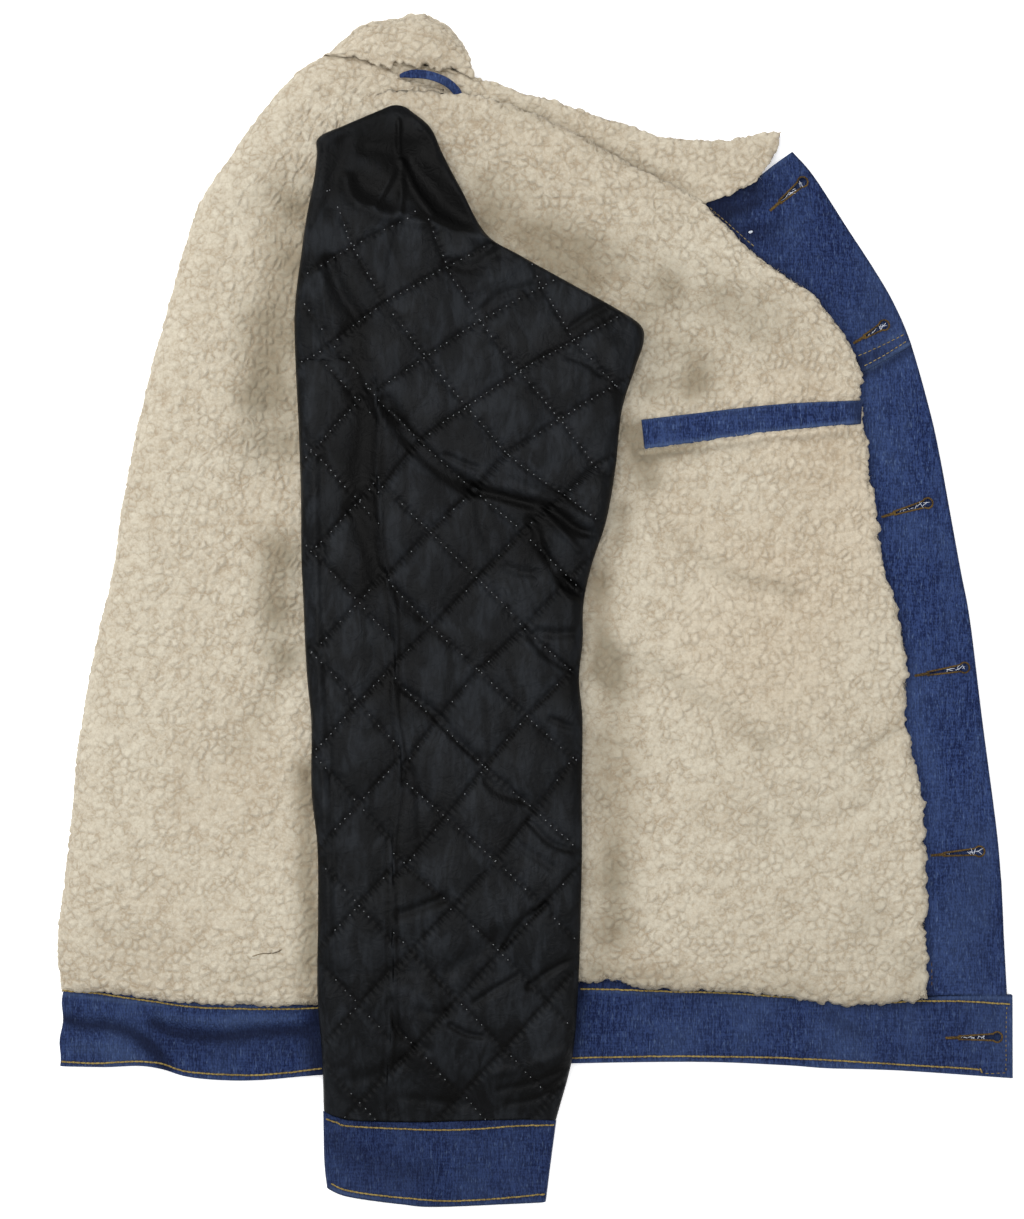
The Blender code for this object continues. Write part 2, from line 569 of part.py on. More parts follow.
def make_waistband(material, group, cutters):
    """Waistband, its near leg on its far leg with the turn at the centre back."""
    top, bottom = Line(BAND_TOP), Line(BAND_BOTTOM)
    middle = (BAND + BAND_LEG_GAP) / 2      # radius of the turn at the middle of the wall

    def place(station, v, side):
        leg, share = station
        lift = (BAND / 2 if side else -BAND / 2)
        if leg == "turn":
            angle = math.radians(share)
            radius = middle + lift
            share = (BAND_TURN - radius * math.sin(angle)) / top.length
            height = BAND + BAND_LEG_GAP / 2 + radius * math.cos(angle)
        else:
            start = BAND_TURN / top.length
            share = start + (1 - start) * share
            height = BAND + BAND_LEG_GAP / 2 + (middle + lift) * (1 if leg == "near" else -1)
        low, high = bottom.at(share), top.at(share)
        spot = low.lerp(high, v)
        return spot.x, spot.y, height

    count = 30
    near = [("near", 1 - k / count) for k in range(count + 1)]
    turn = [("turn", angle) for angle in (30, 60, 90, 120, 150)]
    far = [("far", k / 12) for k in range(13)]
    band = cloth_wall("waistband", near + turn + far, [0, 0.33, 0.67, 1], place, material, group)
    cut_keyholes(band, cutters)
    return band


def make_pocket_welt(material, group):
    """Denim welt of the inner pocket, laid on the near front lining."""
    top, bottom = Line(WELT_TOP), Line(WELT_BOTTOM)

    def place(u, v, side):
        spot = bottom.at(u).lerp(top.at(u), v)
        height = roll_height(spot.x, spot.y) + PILE + LAY_GAP
        return spot.x, spot.y, height + (WELT if side else 0.0)

    columns = [k / 11 for k in range(12)]
    return cloth_wall("pocket_welt", columns, [0, 0.5, 1], place, material, group)


def collar_height(u):
    """The top of the hidden collar layers, lower towards the collar point."""
    return COLLAR_PILE - COLLAR_POINT_DROP * ease((u - 0.45) / 0.5)


def make_collar(sherpa, denim, group):
    """Under collar and far collar as one layered pile, and the near collar on it."""
    end = Line(COLLAR_END)
    start = Line([NECK_SEAM[0], COLLAR_EDGE[0]])
    plan = patch(Line(COLLAR_EDGE).at, neck_line.at, start.at, end.at)

    def under(u, v, side):
        spot = plan(u, v)
        return spot.x, spot.y, collar_height(u) if side else 0.0

    def near(u, v, side):
        spot = plan(0.004 + 0.99 * u, 0.03 + 0.95 * v)
        height = collar_height(u) + LAY_GAP
        if side:
            to_edge = min((plan(u, 1) - spot).length, (plan(1, v) - spot).length)
            to_neck = (plan(u, 0) - spot).length
            height += min(pile_thickness(to_edge, RIM_REACH), pile_thickness(to_neck, RIM_REACH))
        return spot.x, spot.y, height

    columns = stations(290, 15, (), (2.5, 6))
    cloth_wall("under_collar", columns, [0, 0.5, 1], under, denim, group,
               layers=COLLAR_LAYERS)
    cloth_wall("collar_near", columns, [0, 0.12, 0.35, 0.65, 0.88, 1], near, sherpa, group)


def make_far_collar(material, group):
    """The far half of the collar, which stands up beyond the neck as a rounded lump."""
    start = Line([CREASE[0], FAR_COLLAR_EDGE[0]])
    plan = patch(Line(FAR_COLLAR_EDGE).at, Line(CREASE).at, start.at, Line(FAR_COLLAR_END).at)

    def place(u, v, side):
        spot = plan(u, v)
        if not side:
            return spot.x, spot.y, 0.0
        arch = math.sin(math.pi * (0.2 + 0.8 * v)) ** 0.7 if v < 1 else 0.0
        spread = 0.55 + 0.45 * math.sin(math.pi * (0.12 + 0.72 * u))
        return spot.x, spot.y, LUMP_LOW + LUMP_RISE * arch * spread

    columns = [k / 12 for k in range(13)]
    cloth_wall("collar_far", columns, [0, 0.15, 0.35, 0.55, 0.72, 0.86, 0.95, 1], place, material,
               group, layers=LUMP_LAYERS)


def make_hang_loop(material, group):
    """Denim tape that arches over the neck seam, sewn down at both ends."""
    line = Line(LOOP_LINE)

    def place(share, v, side):
        spot = line.at(share)
        run = line.at(share + 0.02) - line.at(share - 0.02)
        across = Vector((-run.y, run.x, 0)).normalized()
        out = run.cross(across).normalized()
        out = out if out.z > 0 else -out
        spot = spot + across * LOOP_WIDTH * (v - 0.5)
        return spot + out * (LOOP_THICK if side else 0.0)

    columns = [k / 14 for k in range(15)]
    cloth_wall("hang_loop", columns, [0, 1], place, material, group)


class SleeveRows:
    """The sleeve's sections, read by how far along the sleeve they lie."""

    def __init__(self):
        self.along = [(row["left"][1] + row["right"][1]) / 2 for row in SLEEVE_ROWS]

    def read(self, along, name):
        """One column of the table at a place along the sleeve, on a smooth line."""
        k = 0
        while k < len(self.along) - 2 and along < self.along[k + 1]:
            k += 1
        values = [row[name] if isinstance(row[name], (int, float)) else Vector(row[name])
                  for row in SLEEVE_ROWS]
        t = clamp((along - self.along[k]) / (self.along[k + 1] - self.along[k]))
        start, end = values[k], values[k + 1]
        span = self.along[k + 1] - self.along[k]
        before = (end - values[k - 1]) / (self.along[k + 1] - self.along[k - 1]) if k else (
            (end - start) / span)
        last = k + 2 == len(values)
        after = (end - start) / span if last else (
            (values[k + 2] - start) / (self.along[k + 2] - self.along[k]))
        return (start * (2 * t ** 3 - 3 * t ** 2 + 1) + before * span * (t ** 3 - 2 * t ** 2 + t)
                + end * (3 * t ** 2 - 2 * t ** 3) + after * span * (t ** 3 - t ** 2))


def section_spot(rows, along, share):
    """A place on the line between the two folds of one section, in plan."""
    left, right = rows.read(along, "left"), rows.read(along, "right")
    spot = left.lerp(right, share)
    spot.y -= rows.read(along, "sag") * 4 * share * (1 - share)
    start, end = Vector(SLEEVE_ROWS[-1]["left"]), Vector(SLEEVE_ROWS[-1]["right"])
    straight = start.y + (end.y - start.y) * (spot.x - start.x) / (end.x - start.x)
    bend = clamp((SLEEVE_END_FIT - along) / (SLEEVE_END_FIT - rows.along[-1]))
    spot.y += (cuff_line.crossing(spot.x, 0) + SEAM_GAP - straight) * bend
    return spot


def sleeve_bed(x, y):
    """The under side of the sleeve: on the lining, then down past the hem to the table."""
    inside = max(y, SLEEVE_DROP_TOP)
    on_body = roll_height(x, inside) + PILE + LAY_GAP
    if y > SLEEVE_DROP_TOP:
        return on_body
    drop = ease((SLEEVE_DROP_TOP - y) / (SLEEVE_DROP_TOP - SLEEVE_DROP_END))
    return on_body * (1 - drop)


def quilt_puff(column, row):
    """The height of the quilting at a half step of its stitch grid."""
    if (column + row) % 4 == 0 or (column - row) % 4 == 0:
        return 0.0
    return QUILT_PUFF if column % 2 == 0 else 0.8 * QUILT_PUFF


def sleeve_ring(rows, along, row_number):
    """Points round the outside of one section, upper side first."""
    left, right = rows.read(along, "left"), rows.read(along, "right")
    thick = rows.read(along, "thick")
    width = (right - left).length
    count = len(QUILT_COLUMNS)
    least = min(1.5, width / (count + 6))

    def spot_at(distance, upper, puff):
        spot = section_spot(rows, along, distance / width)
        full = quarter_round(min(distance, width - distance) / SLEEVE_ROUND)
        bed = sleeve_bed(spot.x, spot.y)
        if not upper:
            return Vector((spot.x, spot.y, bed + thick / 2 * (1 - full)))
        creases = fold_height(sleeve_folds, spot.x, spot.y) * full
        return Vector((spot.x, spot.y, bed + thick / 2 * (1 + full) + creases + puff * full))

    ring = [spot_at(0, False, 0)]
    for k, column in enumerate(QUILT_COLUMNS):
        wanted = (QUILT_DATUM[0] + column * QUILT_ACROSS / 2 - left.x) / (right.x - left.x) * width
        distance = clamp(wanted, least * (k + 1), width - least * (count - k))
        puff = quilt_puff(column, row_number) * clamp((thick - 6) / 4)
        ring.append(spot_at(distance, True, puff))
    ring.append(spot_at(width, False, 0))
    for k in range(LOWER_COLUMNS):
        share = 1 - (k + 1) / (LOWER_COLUMNS + 1)
        eased = 0.5 + (share - 0.5) * 0.9 + 0.4 * (share - 0.5) ** 3
        ring.append(spot_at(eased * width, False, 0))
    return ring


def hollow_ring(rows, along, wall):
    """Points round the hollow inside one section."""
    left, right = rows.read(along, "left"), rows.read(along, "right")
    thick = rows.read(along, "thick")
    width = (right - left).length
    shares = [k / HOLLOW_SIDES for k in range(HOLLOW_SIDES + 1)]
    ring = []
    for upper in (True, False):
        for share in (shares[:-1] if upper else shares[:0:-1]):
            distance = 2 * wall + (width - 4 * wall) * share
            spot = section_spot(rows, along, distance / width)
            rise = max(0.0, math.sin(math.pi * share)) ** 0.5
            half = max(thick / 2 - wall, HOLLOW_LEAST) * rise
            middle = sleeve_bed(spot.x, spot.y) + thick / 2
            ring.append(Vector((spot.x, spot.y, middle + (half if upper else -half))))
    return ring


def ring_verts(bm, ring):
    return [bm.verts.new(point * MM) for point in ring]


def close_flat(bm, ring, upper):
    """Close a flattened ring by joining its upper side to its lower side."""
    over, under = ring[:upper + 1], [ring[0]] + ring[:upper - 1:-1]
    low, high = 0, 0
    while low < len(under) - 1 or high < len(over) - 1:
        step_high = low == len(under) - 1 or (
            high < len(over) - 1 and over[high + 1].co.x <= under[low + 1].co.x)
        nxt = over[high + 1] if step_high else under[low + 1]
        corners = {over[high], under[low], nxt}
        if len(corners) == 3:
            bm.faces.new([over[high], nxt, under[low]])
        high, low = (high + 1, low) if step_high else (high, low + 1)


def make_sleeve_lining(material, group):
    """Quilted sleeve lining: a flattened tube, raised between its stitch lines."""
    rows = SleeveRows()
    top, end = rows.along[0], rows.along[-1]
    first = math.ceil((end - QUILT_DATUM[1]) / QUILT_ALONG * 2)
    last = math.floor((top - QUILT_DATUM[1]) / QUILT_ALONG * 2)
    numbers = list(range(last, first - 1, -1))
    spots = [QUILT_DATUM[1] + number * QUILT_ALONG / 2 for number in numbers]
    sections = list(zip(spots, numbers))
    if top - spots[0] > 2:
        sections.insert(0, (top, numbers[0] + 1))
    if spots[-1] - end > 2:
        sections.append((end, numbers[-1] - 1))
    else:
        sections[-1] = (end, numbers[-1])
    bm = bmesh.new()
    rings = [ring_verts(bm, sleeve_ring(rows, along, number)) for along, number in sections]
    upper = len(QUILT_COLUMNS) + 1
    for (above, below), (_, number) in zip(zip(rings, rings[1:]), sections):
        for k in range(len(above)):
            n = (k + 1) % len(above)
            a, b, c, d = above[k], above[n], below[n], below[k]
            if 1 <= k < upper - 1:
                column = QUILT_COLUMNS[k - 1]
                falls = (column + number) % 4 == 0     # this stitch line falls to the right
                rises = (column + 1 - number) % 4 == 0
                if falls or (not rises and (column + number) % 2 == 1
                             and (column + 1 - number) % 4 == 2):
                    bm.faces.new([a, b, c])
                    bm.faces.new([a, c, d])
                    continue
                bm.faces.new([a, b, d])
                bm.faces.new([b, c, d])
                continue
            bm.faces.new([a, b, c, d])
    close_flat(bm, rings[0], upper)
    spans = [SLEEVE_HOLLOW_TOP + (end - SLEEVE_HOLLOW_TOP) * k / SLEEVE_HOLLOW_ROWS
             for k in range(SLEEVE_HOLLOW_ROWS + 1)]
    walls = [SLEEVE_WALL if along > end + SLEEVE_END_REACH else SLEEVE_END_WALL for along in spans]
    inner = [ring_verts(bm, hollow_ring(rows, along, wall)) for along, wall in zip(spans, walls)]
    for above, below in zip(inner, inner[1:]):
        for k in range(len(above)):
            n = (k + 1) % len(above)
            bm.faces.new([above[n], above[k], below[k], below[n]])
    close_flat(bm, inner[0], HOLLOW_SIDES)
    edges = [bm.edges.get((ring[k], ring[(k + 1) % len(ring)]))
             for ring in (rings[-1], inner[-1]) for k in range(len(ring))]
    bmesh.ops.bridge_loops(bm, edges=edges)
    return finish_object(bm, "sleeve_lining", material, group)


def make_sleeve_cuff(material, group):
    """Denim cuff: a flattened tube, open at both ends."""
    plan = patch(Line(CUFF_TOP).at, Line(CUFF_BOTTOM).at,
                 lambda v: Line(CUFF_LEFT).at(1 - v), lambda v: Line(CUFF_RIGHT).at(1 - v))
    half, wall = CUFF_THICK / 2, CUFF_WALL

    def ring(v, inside):
        shares = [k / CUFF_COLUMNS for k in range(CUFF_COLUMNS + 1)]
        shares = [0.5 - 0.5 * math.cos(math.pi * (0.3 * s + 0.7 * (
            math.acos(1 - 2 * s) / math.pi))) for s in shares]
        points = []
        for upper in (True, False):
            for share in (shares[:-1] if upper else shares[:0:-1]):
                width = (plan(1, v) - plan(0, v)).length
                distance = share * width
                full = quarter_round(min(distance, width - distance) / CUFF_ROUND)
                if inside:
                    distance = wall + share * (width - 2 * wall)
                spot = plan(distance / width, v)
                height = (half - wall if inside else half) * full
                middle = sleeve_bed(spot.x, spot.y) + half
                points.append(Vector((spot.x, spot.y, middle + (height if upper else -height))))
        return points

    bm = bmesh.new()
    order = [(1 - k / CUFF_ROWS, False) for k in range(CUFF_ROWS + 1)]
    order += [(k / CUFF_ROWS, True) for k in range(CUFF_ROWS + 1)]
    rings = [ring_verts(bm, ring(v, inside)) for v, inside in order]
    for above, below in zip(rings, rings[1:] + rings[:1]):
        for k in range(len(above)):
            n = (k + 1) % len(above)
            bm.faces.new([above[k], above[n], below[n], below[k]])
    return finish_object(bm, "sleeve_cuff", material, group)


def main():
    clear_scene()
    group = new_collection("sherpa lined jacket")
    cutters = new_collection("cutters")
    sherpa = cloth_material("sherpa", COLORS["sherpa"], 0.95)
    denim = cloth_material("denim", COLORS["denim"], 0.85)
    satin = cloth_material("quilted satin", COLORS["satin"], 0.35)
    make_hidden_layers(denim, group)
    make_lining_back(sherpa, group)
    make_lining_front(sherpa, group)
    make_facings(denim, group, cutters)
    make_waistband(denim, group, cutters)
    make_pocket_welt(denim, group)
    make_collar(sherpa, denim, group)
    make_far_collar(sherpa, group)
    make_hang_loop(denim, group)
    make_sleeve_lining(satin, group)
    make_sleeve_cuff(denim, group)


main()
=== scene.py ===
# Looks of a sherpa lined denim jacket, inside out, folded in half at the centre back and laid flat.
# X runs from the centre back fold to the front edge, Y from the hem to the neck, Z off the table.
# Sizes are in millimetres until they go into a mesh.
import math

import bmesh
import bpy
import numpy as np
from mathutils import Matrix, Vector
from mathutils.bvhtree import BVHTree


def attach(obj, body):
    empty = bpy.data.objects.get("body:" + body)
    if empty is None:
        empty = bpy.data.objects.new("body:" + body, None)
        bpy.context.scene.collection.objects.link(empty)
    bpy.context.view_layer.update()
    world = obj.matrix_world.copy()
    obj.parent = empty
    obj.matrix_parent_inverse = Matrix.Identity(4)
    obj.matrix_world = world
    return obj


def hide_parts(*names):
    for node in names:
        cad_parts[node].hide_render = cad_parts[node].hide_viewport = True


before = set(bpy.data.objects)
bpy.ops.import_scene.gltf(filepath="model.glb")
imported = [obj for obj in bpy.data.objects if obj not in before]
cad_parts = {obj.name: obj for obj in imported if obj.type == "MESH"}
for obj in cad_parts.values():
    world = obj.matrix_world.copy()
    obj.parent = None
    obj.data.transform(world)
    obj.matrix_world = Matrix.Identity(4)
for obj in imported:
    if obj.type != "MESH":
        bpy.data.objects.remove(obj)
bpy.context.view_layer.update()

mm = 0.001

cloth = {  # across one wall
    "pile": 6.5,        # sherpa with its curls
    "pileRim": 2.0,     # sherpa where it is sewn down
    "facing": 2.0,
    "band": 3.0,        # one leg of the waistband
    "bandLegGap": 0.3,  # between its two legs
    "bandTurn": 5.0,    # how far its turn reaches in
    "welt": 2.2,
    "tape": 1.4,        # of the hang loop
    "tapeWidth": 5.0,
    "seamGap": 0.5,     # between pieces side by side
    "layGap": 0.6,      # between layers
}
lie = {  # how high the layers lie
    "core": 13.0,       # the hidden pile in the middle
    "frontLow": 3.2,    # the same at the front edge
    "frontReach": 95.0,
    "hemShare": 0.2,    # share of the height that is left at the hem
    "hemReach": 60.0,
    "neckShare": 0.5,   # and at the neck
    "neckReach": 45.0,
    "rollLift": 2.8,    # how far the front lining stands up along its roll
    "rollReach": 45.0,
    "rollRound": 11.0,
    "rimReach": 7.0,    # how far from a seam the pile has its full height
    "foldRound": 22.0,  # how far in the fold at the centre back is round
    "foldBelly": 7.0,   # how high it is widest
    "foldTuck": 2.5,    # how far it goes in again below that
}
outline = {  # in plan, as points on a smooth line
    "fold": [(-120, 336), (-143, 321.4), (-168.8, 291.4), (-189, 262.6), (-203, 240), (-211, 214),
             (-223, 170), (-236, 120), (-247, 66), (-250.5, 40), (-255, 14), (-260, -6), (-269, -52),
             (-274.6, -88), (-277.6, -122), (-281.8, -162), (-286, -200), (-284, -228)],
    "front": [(154, 275.2), (167, 260.2), (187.8, 228), (202.8, 205), (215, 184), (225.3, 159.4),
              (237, 117.8), (243, 90), (248.8, 58), (255, 24), (260.6, -6), (268, -66), (277.2, -137),
              (279.8, -176), (282.8, -230.6)],
    "lapel": [(97.5, 244.8), (128, 214.5), (150, 198.5), (163, 189.5), (173.5, 177.5),
              (188.5, 155.5), (194, 141.3), (191.5, 126), (196.5, 100), (199, 77), (203, 54),
              (205.5, 30), (213, 6), (219, -18), (220.5, -42), (218.5, -66), (224.5, -90),
              (229.8, -113), (230.8, -137), (231.8, -180), (233.4, -231.4)],
    "neck": [(-108, 332), (-92, 325.7), (-79.5, 320.6), (-60, 313.2), (-43, 307.7), (-23, 297),
             (-3, 288), (22, 276), (45, 262), (64, 252), (82, 245), (98, 245.5), (111, 249.2),
             (123, 254), (134, 260)],
    "collarEdge": [(-108, 333.6), (-93, 331), (-72, 327), (-51, 323.6), (-37.5, 318.9),
                   (-7.5, 309.5), (26, 299.2), (47, 292.7), (73, 284), (97, 281.5),
                   (116, 281.4), (137, 286.2), (148, 286.4)],
    "collarEnd": [(133.2, 257.8), (138.6, 265.2), (144.8, 276), (148, 286.4)],
    "farCollarEdge": [(-126, 333), (-113, 343.6), (-104, 349.6), (-95, 352.2), (-86, 353.2),
                      (-75, 356), (-67, 357.2), (-59, 353.6), (-50.3, 347.6), (-45, 341),
                      (-42.5, 338)],
    "crease": [(-121, 332.6), (-107, 333), (-93, 331.2), (-72, 327.8), (-51, 324.8), (-37.5, 320.4)],
    "farCollarEnd": [(-37.5, 320.4), (-40.2, 330), (-42.5, 338)],
    "roll": [(-95.7, 304.2), (-90, 307), (-80, 308.6), (-60, 307.8), (-43, 306.8),
             (-23.7, 303.5), (-2.7, 295.2), (26, 282.6), (49, 269.4), (68, 259.8), (84.3, 252),
             (97.5, 244.8)],
    "neckReturn": [(-44.5, 307.6), (-60, 309.2), (-80, 310.4), (-91, 309), (-97.2, 304.8)],
    "side": [(-95.7, 304.2), (-92, 285), (-88, 200), (-80, 0), (-70, -230)],
    "hemBack": [(-284, -225.6), (-261, -226.2), (-247, -227.3), (-231, -229.5), (-201, -233.2),
                (-165, -234.8), (-129, -234.8), (-70, -233.5)],
    "hemFront": [(-70, -233.5), (26, -221.5), (48, -221), (69, -225), (123, -226.8), (159, -228.5),
                 (189, -233.5), (219, -233), (233.4, -231.4)],
    "bandTop": [(-285, -226.9), (-261, -227.9), (-247, -229.1), (-231, -231.3), (-201, -234.9),
                (-165, -235.7), (-129, -235.7), (-70, -234.4), (26, -222.4), (48, -221.9),
                (69, -225.9), (123, -227.7), (159, -229.4), (189, -234.4), (219, -233.3),
                (235, -231.6), (250, -230.8), (286, -230.6)],
    "bandBottom": [(-287.6, -273.2), (-258, -273.7), (-238, -273), (-224.6, -274.8), (-209, -279.4),
                   (-189, -281.5), (-165, -281.5), (-128, -278.4), (-50, -273.6), (26, -271.4),
                   (99, -270.6), (150, -272.6), (175, -274.4), (219, -275.8), (286.2, -280.4)],
    "facingTop": [(98, 244), (111, 247.9), (123, 252.6), (133, 258.8), (143, 266.9),
                  (154, 275.2)],
    "yokeEnd": (225.3, 159.4),
}


def smoothLine(points, steps=12):  # a polyline that runs smoothly through a few points
    ends = np.array(points, float)
    ends = np.vstack([2 * ends[:1] - ends[1:2], ends, 2 * ends[-1:] - ends[-2:-1]])
    t = np.arange(1, steps + 1)[:, None] / steps
    stretches = [ends[1:2]]
    for before, start, end, after in zip(ends, ends[1:], ends[2:], ends[3:]):
        stretches.append(start * (2 * t ** 3 - 3 * t ** 2 + 1)
                         + (end - before) / 2 * (t ** 3 - 2 * t ** 2 + t)
                         + end * (3 * t ** 2 - 2 * t ** 3)
                         + (after - start) / 2 * (t ** 3 - t ** 2))
    return np.vstack(stretches)


def reachOf(line):  # how far along the line each of its points is
    return np.concatenate([[0], np.cumsum(np.linalg.norm(np.diff(line, axis=0), axis=1))])


def onLine(line, share):  # places on a line, by share of its length
    reach = reachOf(line)
    wanted = np.clip(share, 0, 1) * reach[-1]
    return np.stack([np.interp(wanted, reach, line[:, k]) for k in range(line.shape[1])], -1)


def crossing(line, value, axis):  # the other coordinate where a line passes x (0) or y (1)
    order = np.argsort(line[:, axis], kind="stable")
    return np.interp(value, line[order, axis], line[order, 1 - axis])


def awayFrom(line, spots):  # distance in plan from a line, and how far along it that is
    best = np.full(len(spots), 1e9)
    place = np.zeros(len(spots))
    reach = reachOf(line)
    for k, (start, end) in enumerate(zip(line, line[1:])):
        run = end - start
        t = np.clip((spots - start) @ run / (run @ run), 0, 1)
        away = np.linalg.norm(spots - start - t[:, None] * run, axis=1)
        closer = away < best
        best[closer] = away[closer]
        place[closer] = reach[k] + t[closer] * (reach[k + 1] - reach[k])
    return best, place


def patch(top, bottom, left, right):  # fills the space between four edges; v is 1 at the top
    corner = [edge(np.array([share]))[0] for edge in (bottom, top) for share in (0.0, 1.0)]

    def place(u, v):
        u, v = np.broadcast_arrays(u, v)
        a, b = u[:, None], v[:, None]
        flat = ((corner[0] * (1 - a) + corner[1] * a) * (1 - b)
                + (corner[2] * (1 - a) + corner[3] * a) * b)
        return bottom(u) * (1 - b) + top(u) * b + left(v) * (1 - a) + right(v) * a - flat

    return place


def edgeOf(points, start=0.0, end=1.0):  # an edge for a patch, or a stretch of one
    line = points if isinstance(points, np.ndarray) else smoothLine(points)
    return lambda share: onLine(line, start + (end - start) * share)


def levelOut(share):
    return 1 - (1 - np.clip(share, 0, 1)) ** 2


def quarterRound(share):
    return np.sqrt(np.maximum(0, 1 - (1 - np.clip(share, 0, 1)) ** 2))


def ease(share):
    share = np.clip(share, 0, 1)
    return share * share * (3 - 2 * share)


def scatter(cells, seed):  # three repeatable random numbers in 0..1 for each lattice cell
    whole = cells.astype(np.int64)
    mixed = (whole[:, 0] * 73856093 ^ whole[:, 1] * 19349663 ^ whole[:, 2] * 83492791) + seed * 7919
    mixed = (mixed & 0xFFFFFFFF).astype(np.uint64)
    numbers = []
    for k in range(3):
        mixed = (mixed * 2654435761 + 374761393 * (k + 1)) & 0xFFFFFFFF
        mixed ^= mixed >> 15
        mixed = (mixed * 2246822519) & 0xFFFFFFFF
        mixed ^= mixed >> 13
        numbers.append(mixed / 4294967296.0)
    return np.stack(numbers, -1)


def softNoise(points, size, seed=0):  # smooth noise in -1..1
    spots = points / size
    cell = np.floor(spots)
    part = spots - cell
    part = part * part * (3 - 2 * part)
    total = np.zeros(len(points))
    for corner in np.ndindex(2, 2, 2):
        weight = np.prod(np.where(corner, part, 1 - part), axis=1)
        total += weight * scatter(cell + corner, seed)[:, 0]
    return 2 * total - 1


bodyFolds = [  # soft troughs (below 0) and ridges; in all these tables: line, half width, height
    ([(-33, 267), (15, 225), (63, 186), (93, 144)], 24, -3.4),
    ([(0, 275), (95, 205), (160, 165)], 22, 1.6),
    ([(64, 80), (110, 25), (160, 6)], 17, -2.2),
    ([(64, -30), (112, -66)], 16, -1.9),
    ([(140, -122), (196, -106)], 17, -1.5),
    ([(60, 20), (120, -20), (190, -60)], 24, 1.2),
    ([(-186, -90), (-158, -48), (-142, 10)], 18, -2.0),
    ([(-150, 190), (-158, 80)], 20, -2.6),
    ([(-205, 150), (-225, 0), (-235, -130)], 30, 1.3),
]
foldLine, frontLine = smoothLine(outline["fold"]), smoothLine(outline["front"])
neckLine, rollLine = smoothLine(outline["neck"]), smoothLine(outline["roll"])
lapelLine, bandTopLine = smoothLine(outline["lapel"]), smoothLine(outline["bandTop"])
foldLength = reachOf(foldLine)[-1]
yokeShare = 0.274  # where the yoke seam meets the lapel seam
yokeLine = [tuple(onLine(lapelLine, np.array([yokeShare]))[0]), outline["yokeEnd"]]
foldReach = 2.5  # a fold ends this many half widths away


def foldHeight(folds, spots):
    total = np.zeros(len(spots))
    for points, width, height in folds:
        line = smoothLine(points, 6)
        reach = foldReach * width
        near = np.all((spots > line.min(0) - reach) & (spots < line.max(0) + reach), axis=1)
        if near.any():
            away = awayFrom(line, spots[near])[0] / width
            total[near] += height * np.exp(-away * away) * (away < foldReach)
    return total


def baseHeight(spots):
    front = levelOut((crossing(frontLine, spots[:, 1], 1) - spots[:, 0]) / lie["frontReach"])
    hem = levelOut((spots[:, 1] - crossing(bandTopLine, spots[:, 0], 0)) / lie["hemReach"])
    height = lie["frontLow"] + ((lie["core"] - lie["frontLow"]) * front
                                * (lie["hemShare"] + (1 - lie["hemShare"]) * hem))
    return height + foldHeight(bodyFolds, spots) * front * hem


def neckHeight(spots):
    below = levelOut((crossing(neckLine, spots[:, 0], 0) - spots[:, 1]) / lie["neckReach"])
    below = lie["neckShare"] + (1 - lie["neckShare"]) * below
    return (baseHeight(spots) - lie["frontLow"]) * below + lie["frontLow"]


def rollHeight(spots):
    below = levelOut((crossing(rollLine, spots[:, 0], 0) - spots[:, 1]) / lie["rollReach"])
    return baseHeight(spots) + cloth["layGap"] + lie["rollLift"] * (1 - below)


def pileThickness(distance, reach):
    return cloth["pileRim"] + (cloth["pile"] - cloth["pileRim"]) * quarterRound(distance / reach)


def readPoints(mesh):
    points = np.empty(len(mesh.vertices) * 3)
    mesh.vertices.foreach_get("co", points)
    return points.reshape(-1, 3)


def writePoints(mesh, points):
    mesh.vertices.foreach_set("co", points.ravel())
    mesh.update()


def readNormals(mesh):
    normals = np.empty(len(mesh.vertices) * 3, np.float32)
    mesh.vertex_normals.foreach_get("vector", normals)
    return normals.reshape(-1, 3).astype(float)


def keepNumber(mesh, name, values):  # a number for each point, for the material to read
    mesh.attributes.new(name, "FLOAT", "POINT").data.foreach_set("value", values.astype(np.float32))


def keepPlaces(mesh, name):  # where each point is now, so that a pattern stays on the cloth
    kept = mesh.attributes.new(name, "FLOAT_VECTOR", "POINT")
    kept.data.foreach_set("vector", readPoints(mesh).ravel().astype(np.float32))


def addObject(name, mesh, material):
    mesh.materials.append(material)
    mesh.shade_smooth()
    thing = bpy.data.objects.new(name, mesh)
    bpy.context.scene.collection.objects.link(thing)
    return thing


def addSquares(bm, across, along, height=0):  # a sheet of squares that spans u and v from 0 to 1
    added = bmesh.ops.create_grid(bm, x_segments=across, y_segments=along, size=0.5)["verts"]
    bmesh.ops.translate(bm, verts=added, vec=(0.5, 0.5, height))
    return added


def thicken(bm, faces, height):  # closes a sheet into a slab
    grown = bmesh.ops.extrude_face_region(bm, geom=faces, use_keep_orig=True)
    lifted = [v for v in grown["geom"] if isinstance(v, bmesh.types.BMVert)]
    bmesh.ops.translate(bm, verts=lifted, vec=(0, 0, height))


def placesOf(bm):
    return np.array([vert.co[:] for vert in bm.verts])


def movePoints(bm, points):
    for vert, point in zip(bm.verts, points * mm):
        vert.co = point


def toMesh(bm, name):
    mesh = bpy.data.meshes.new(name)
    bm.to_mesh(mesh)
    bm.free()
    return mesh


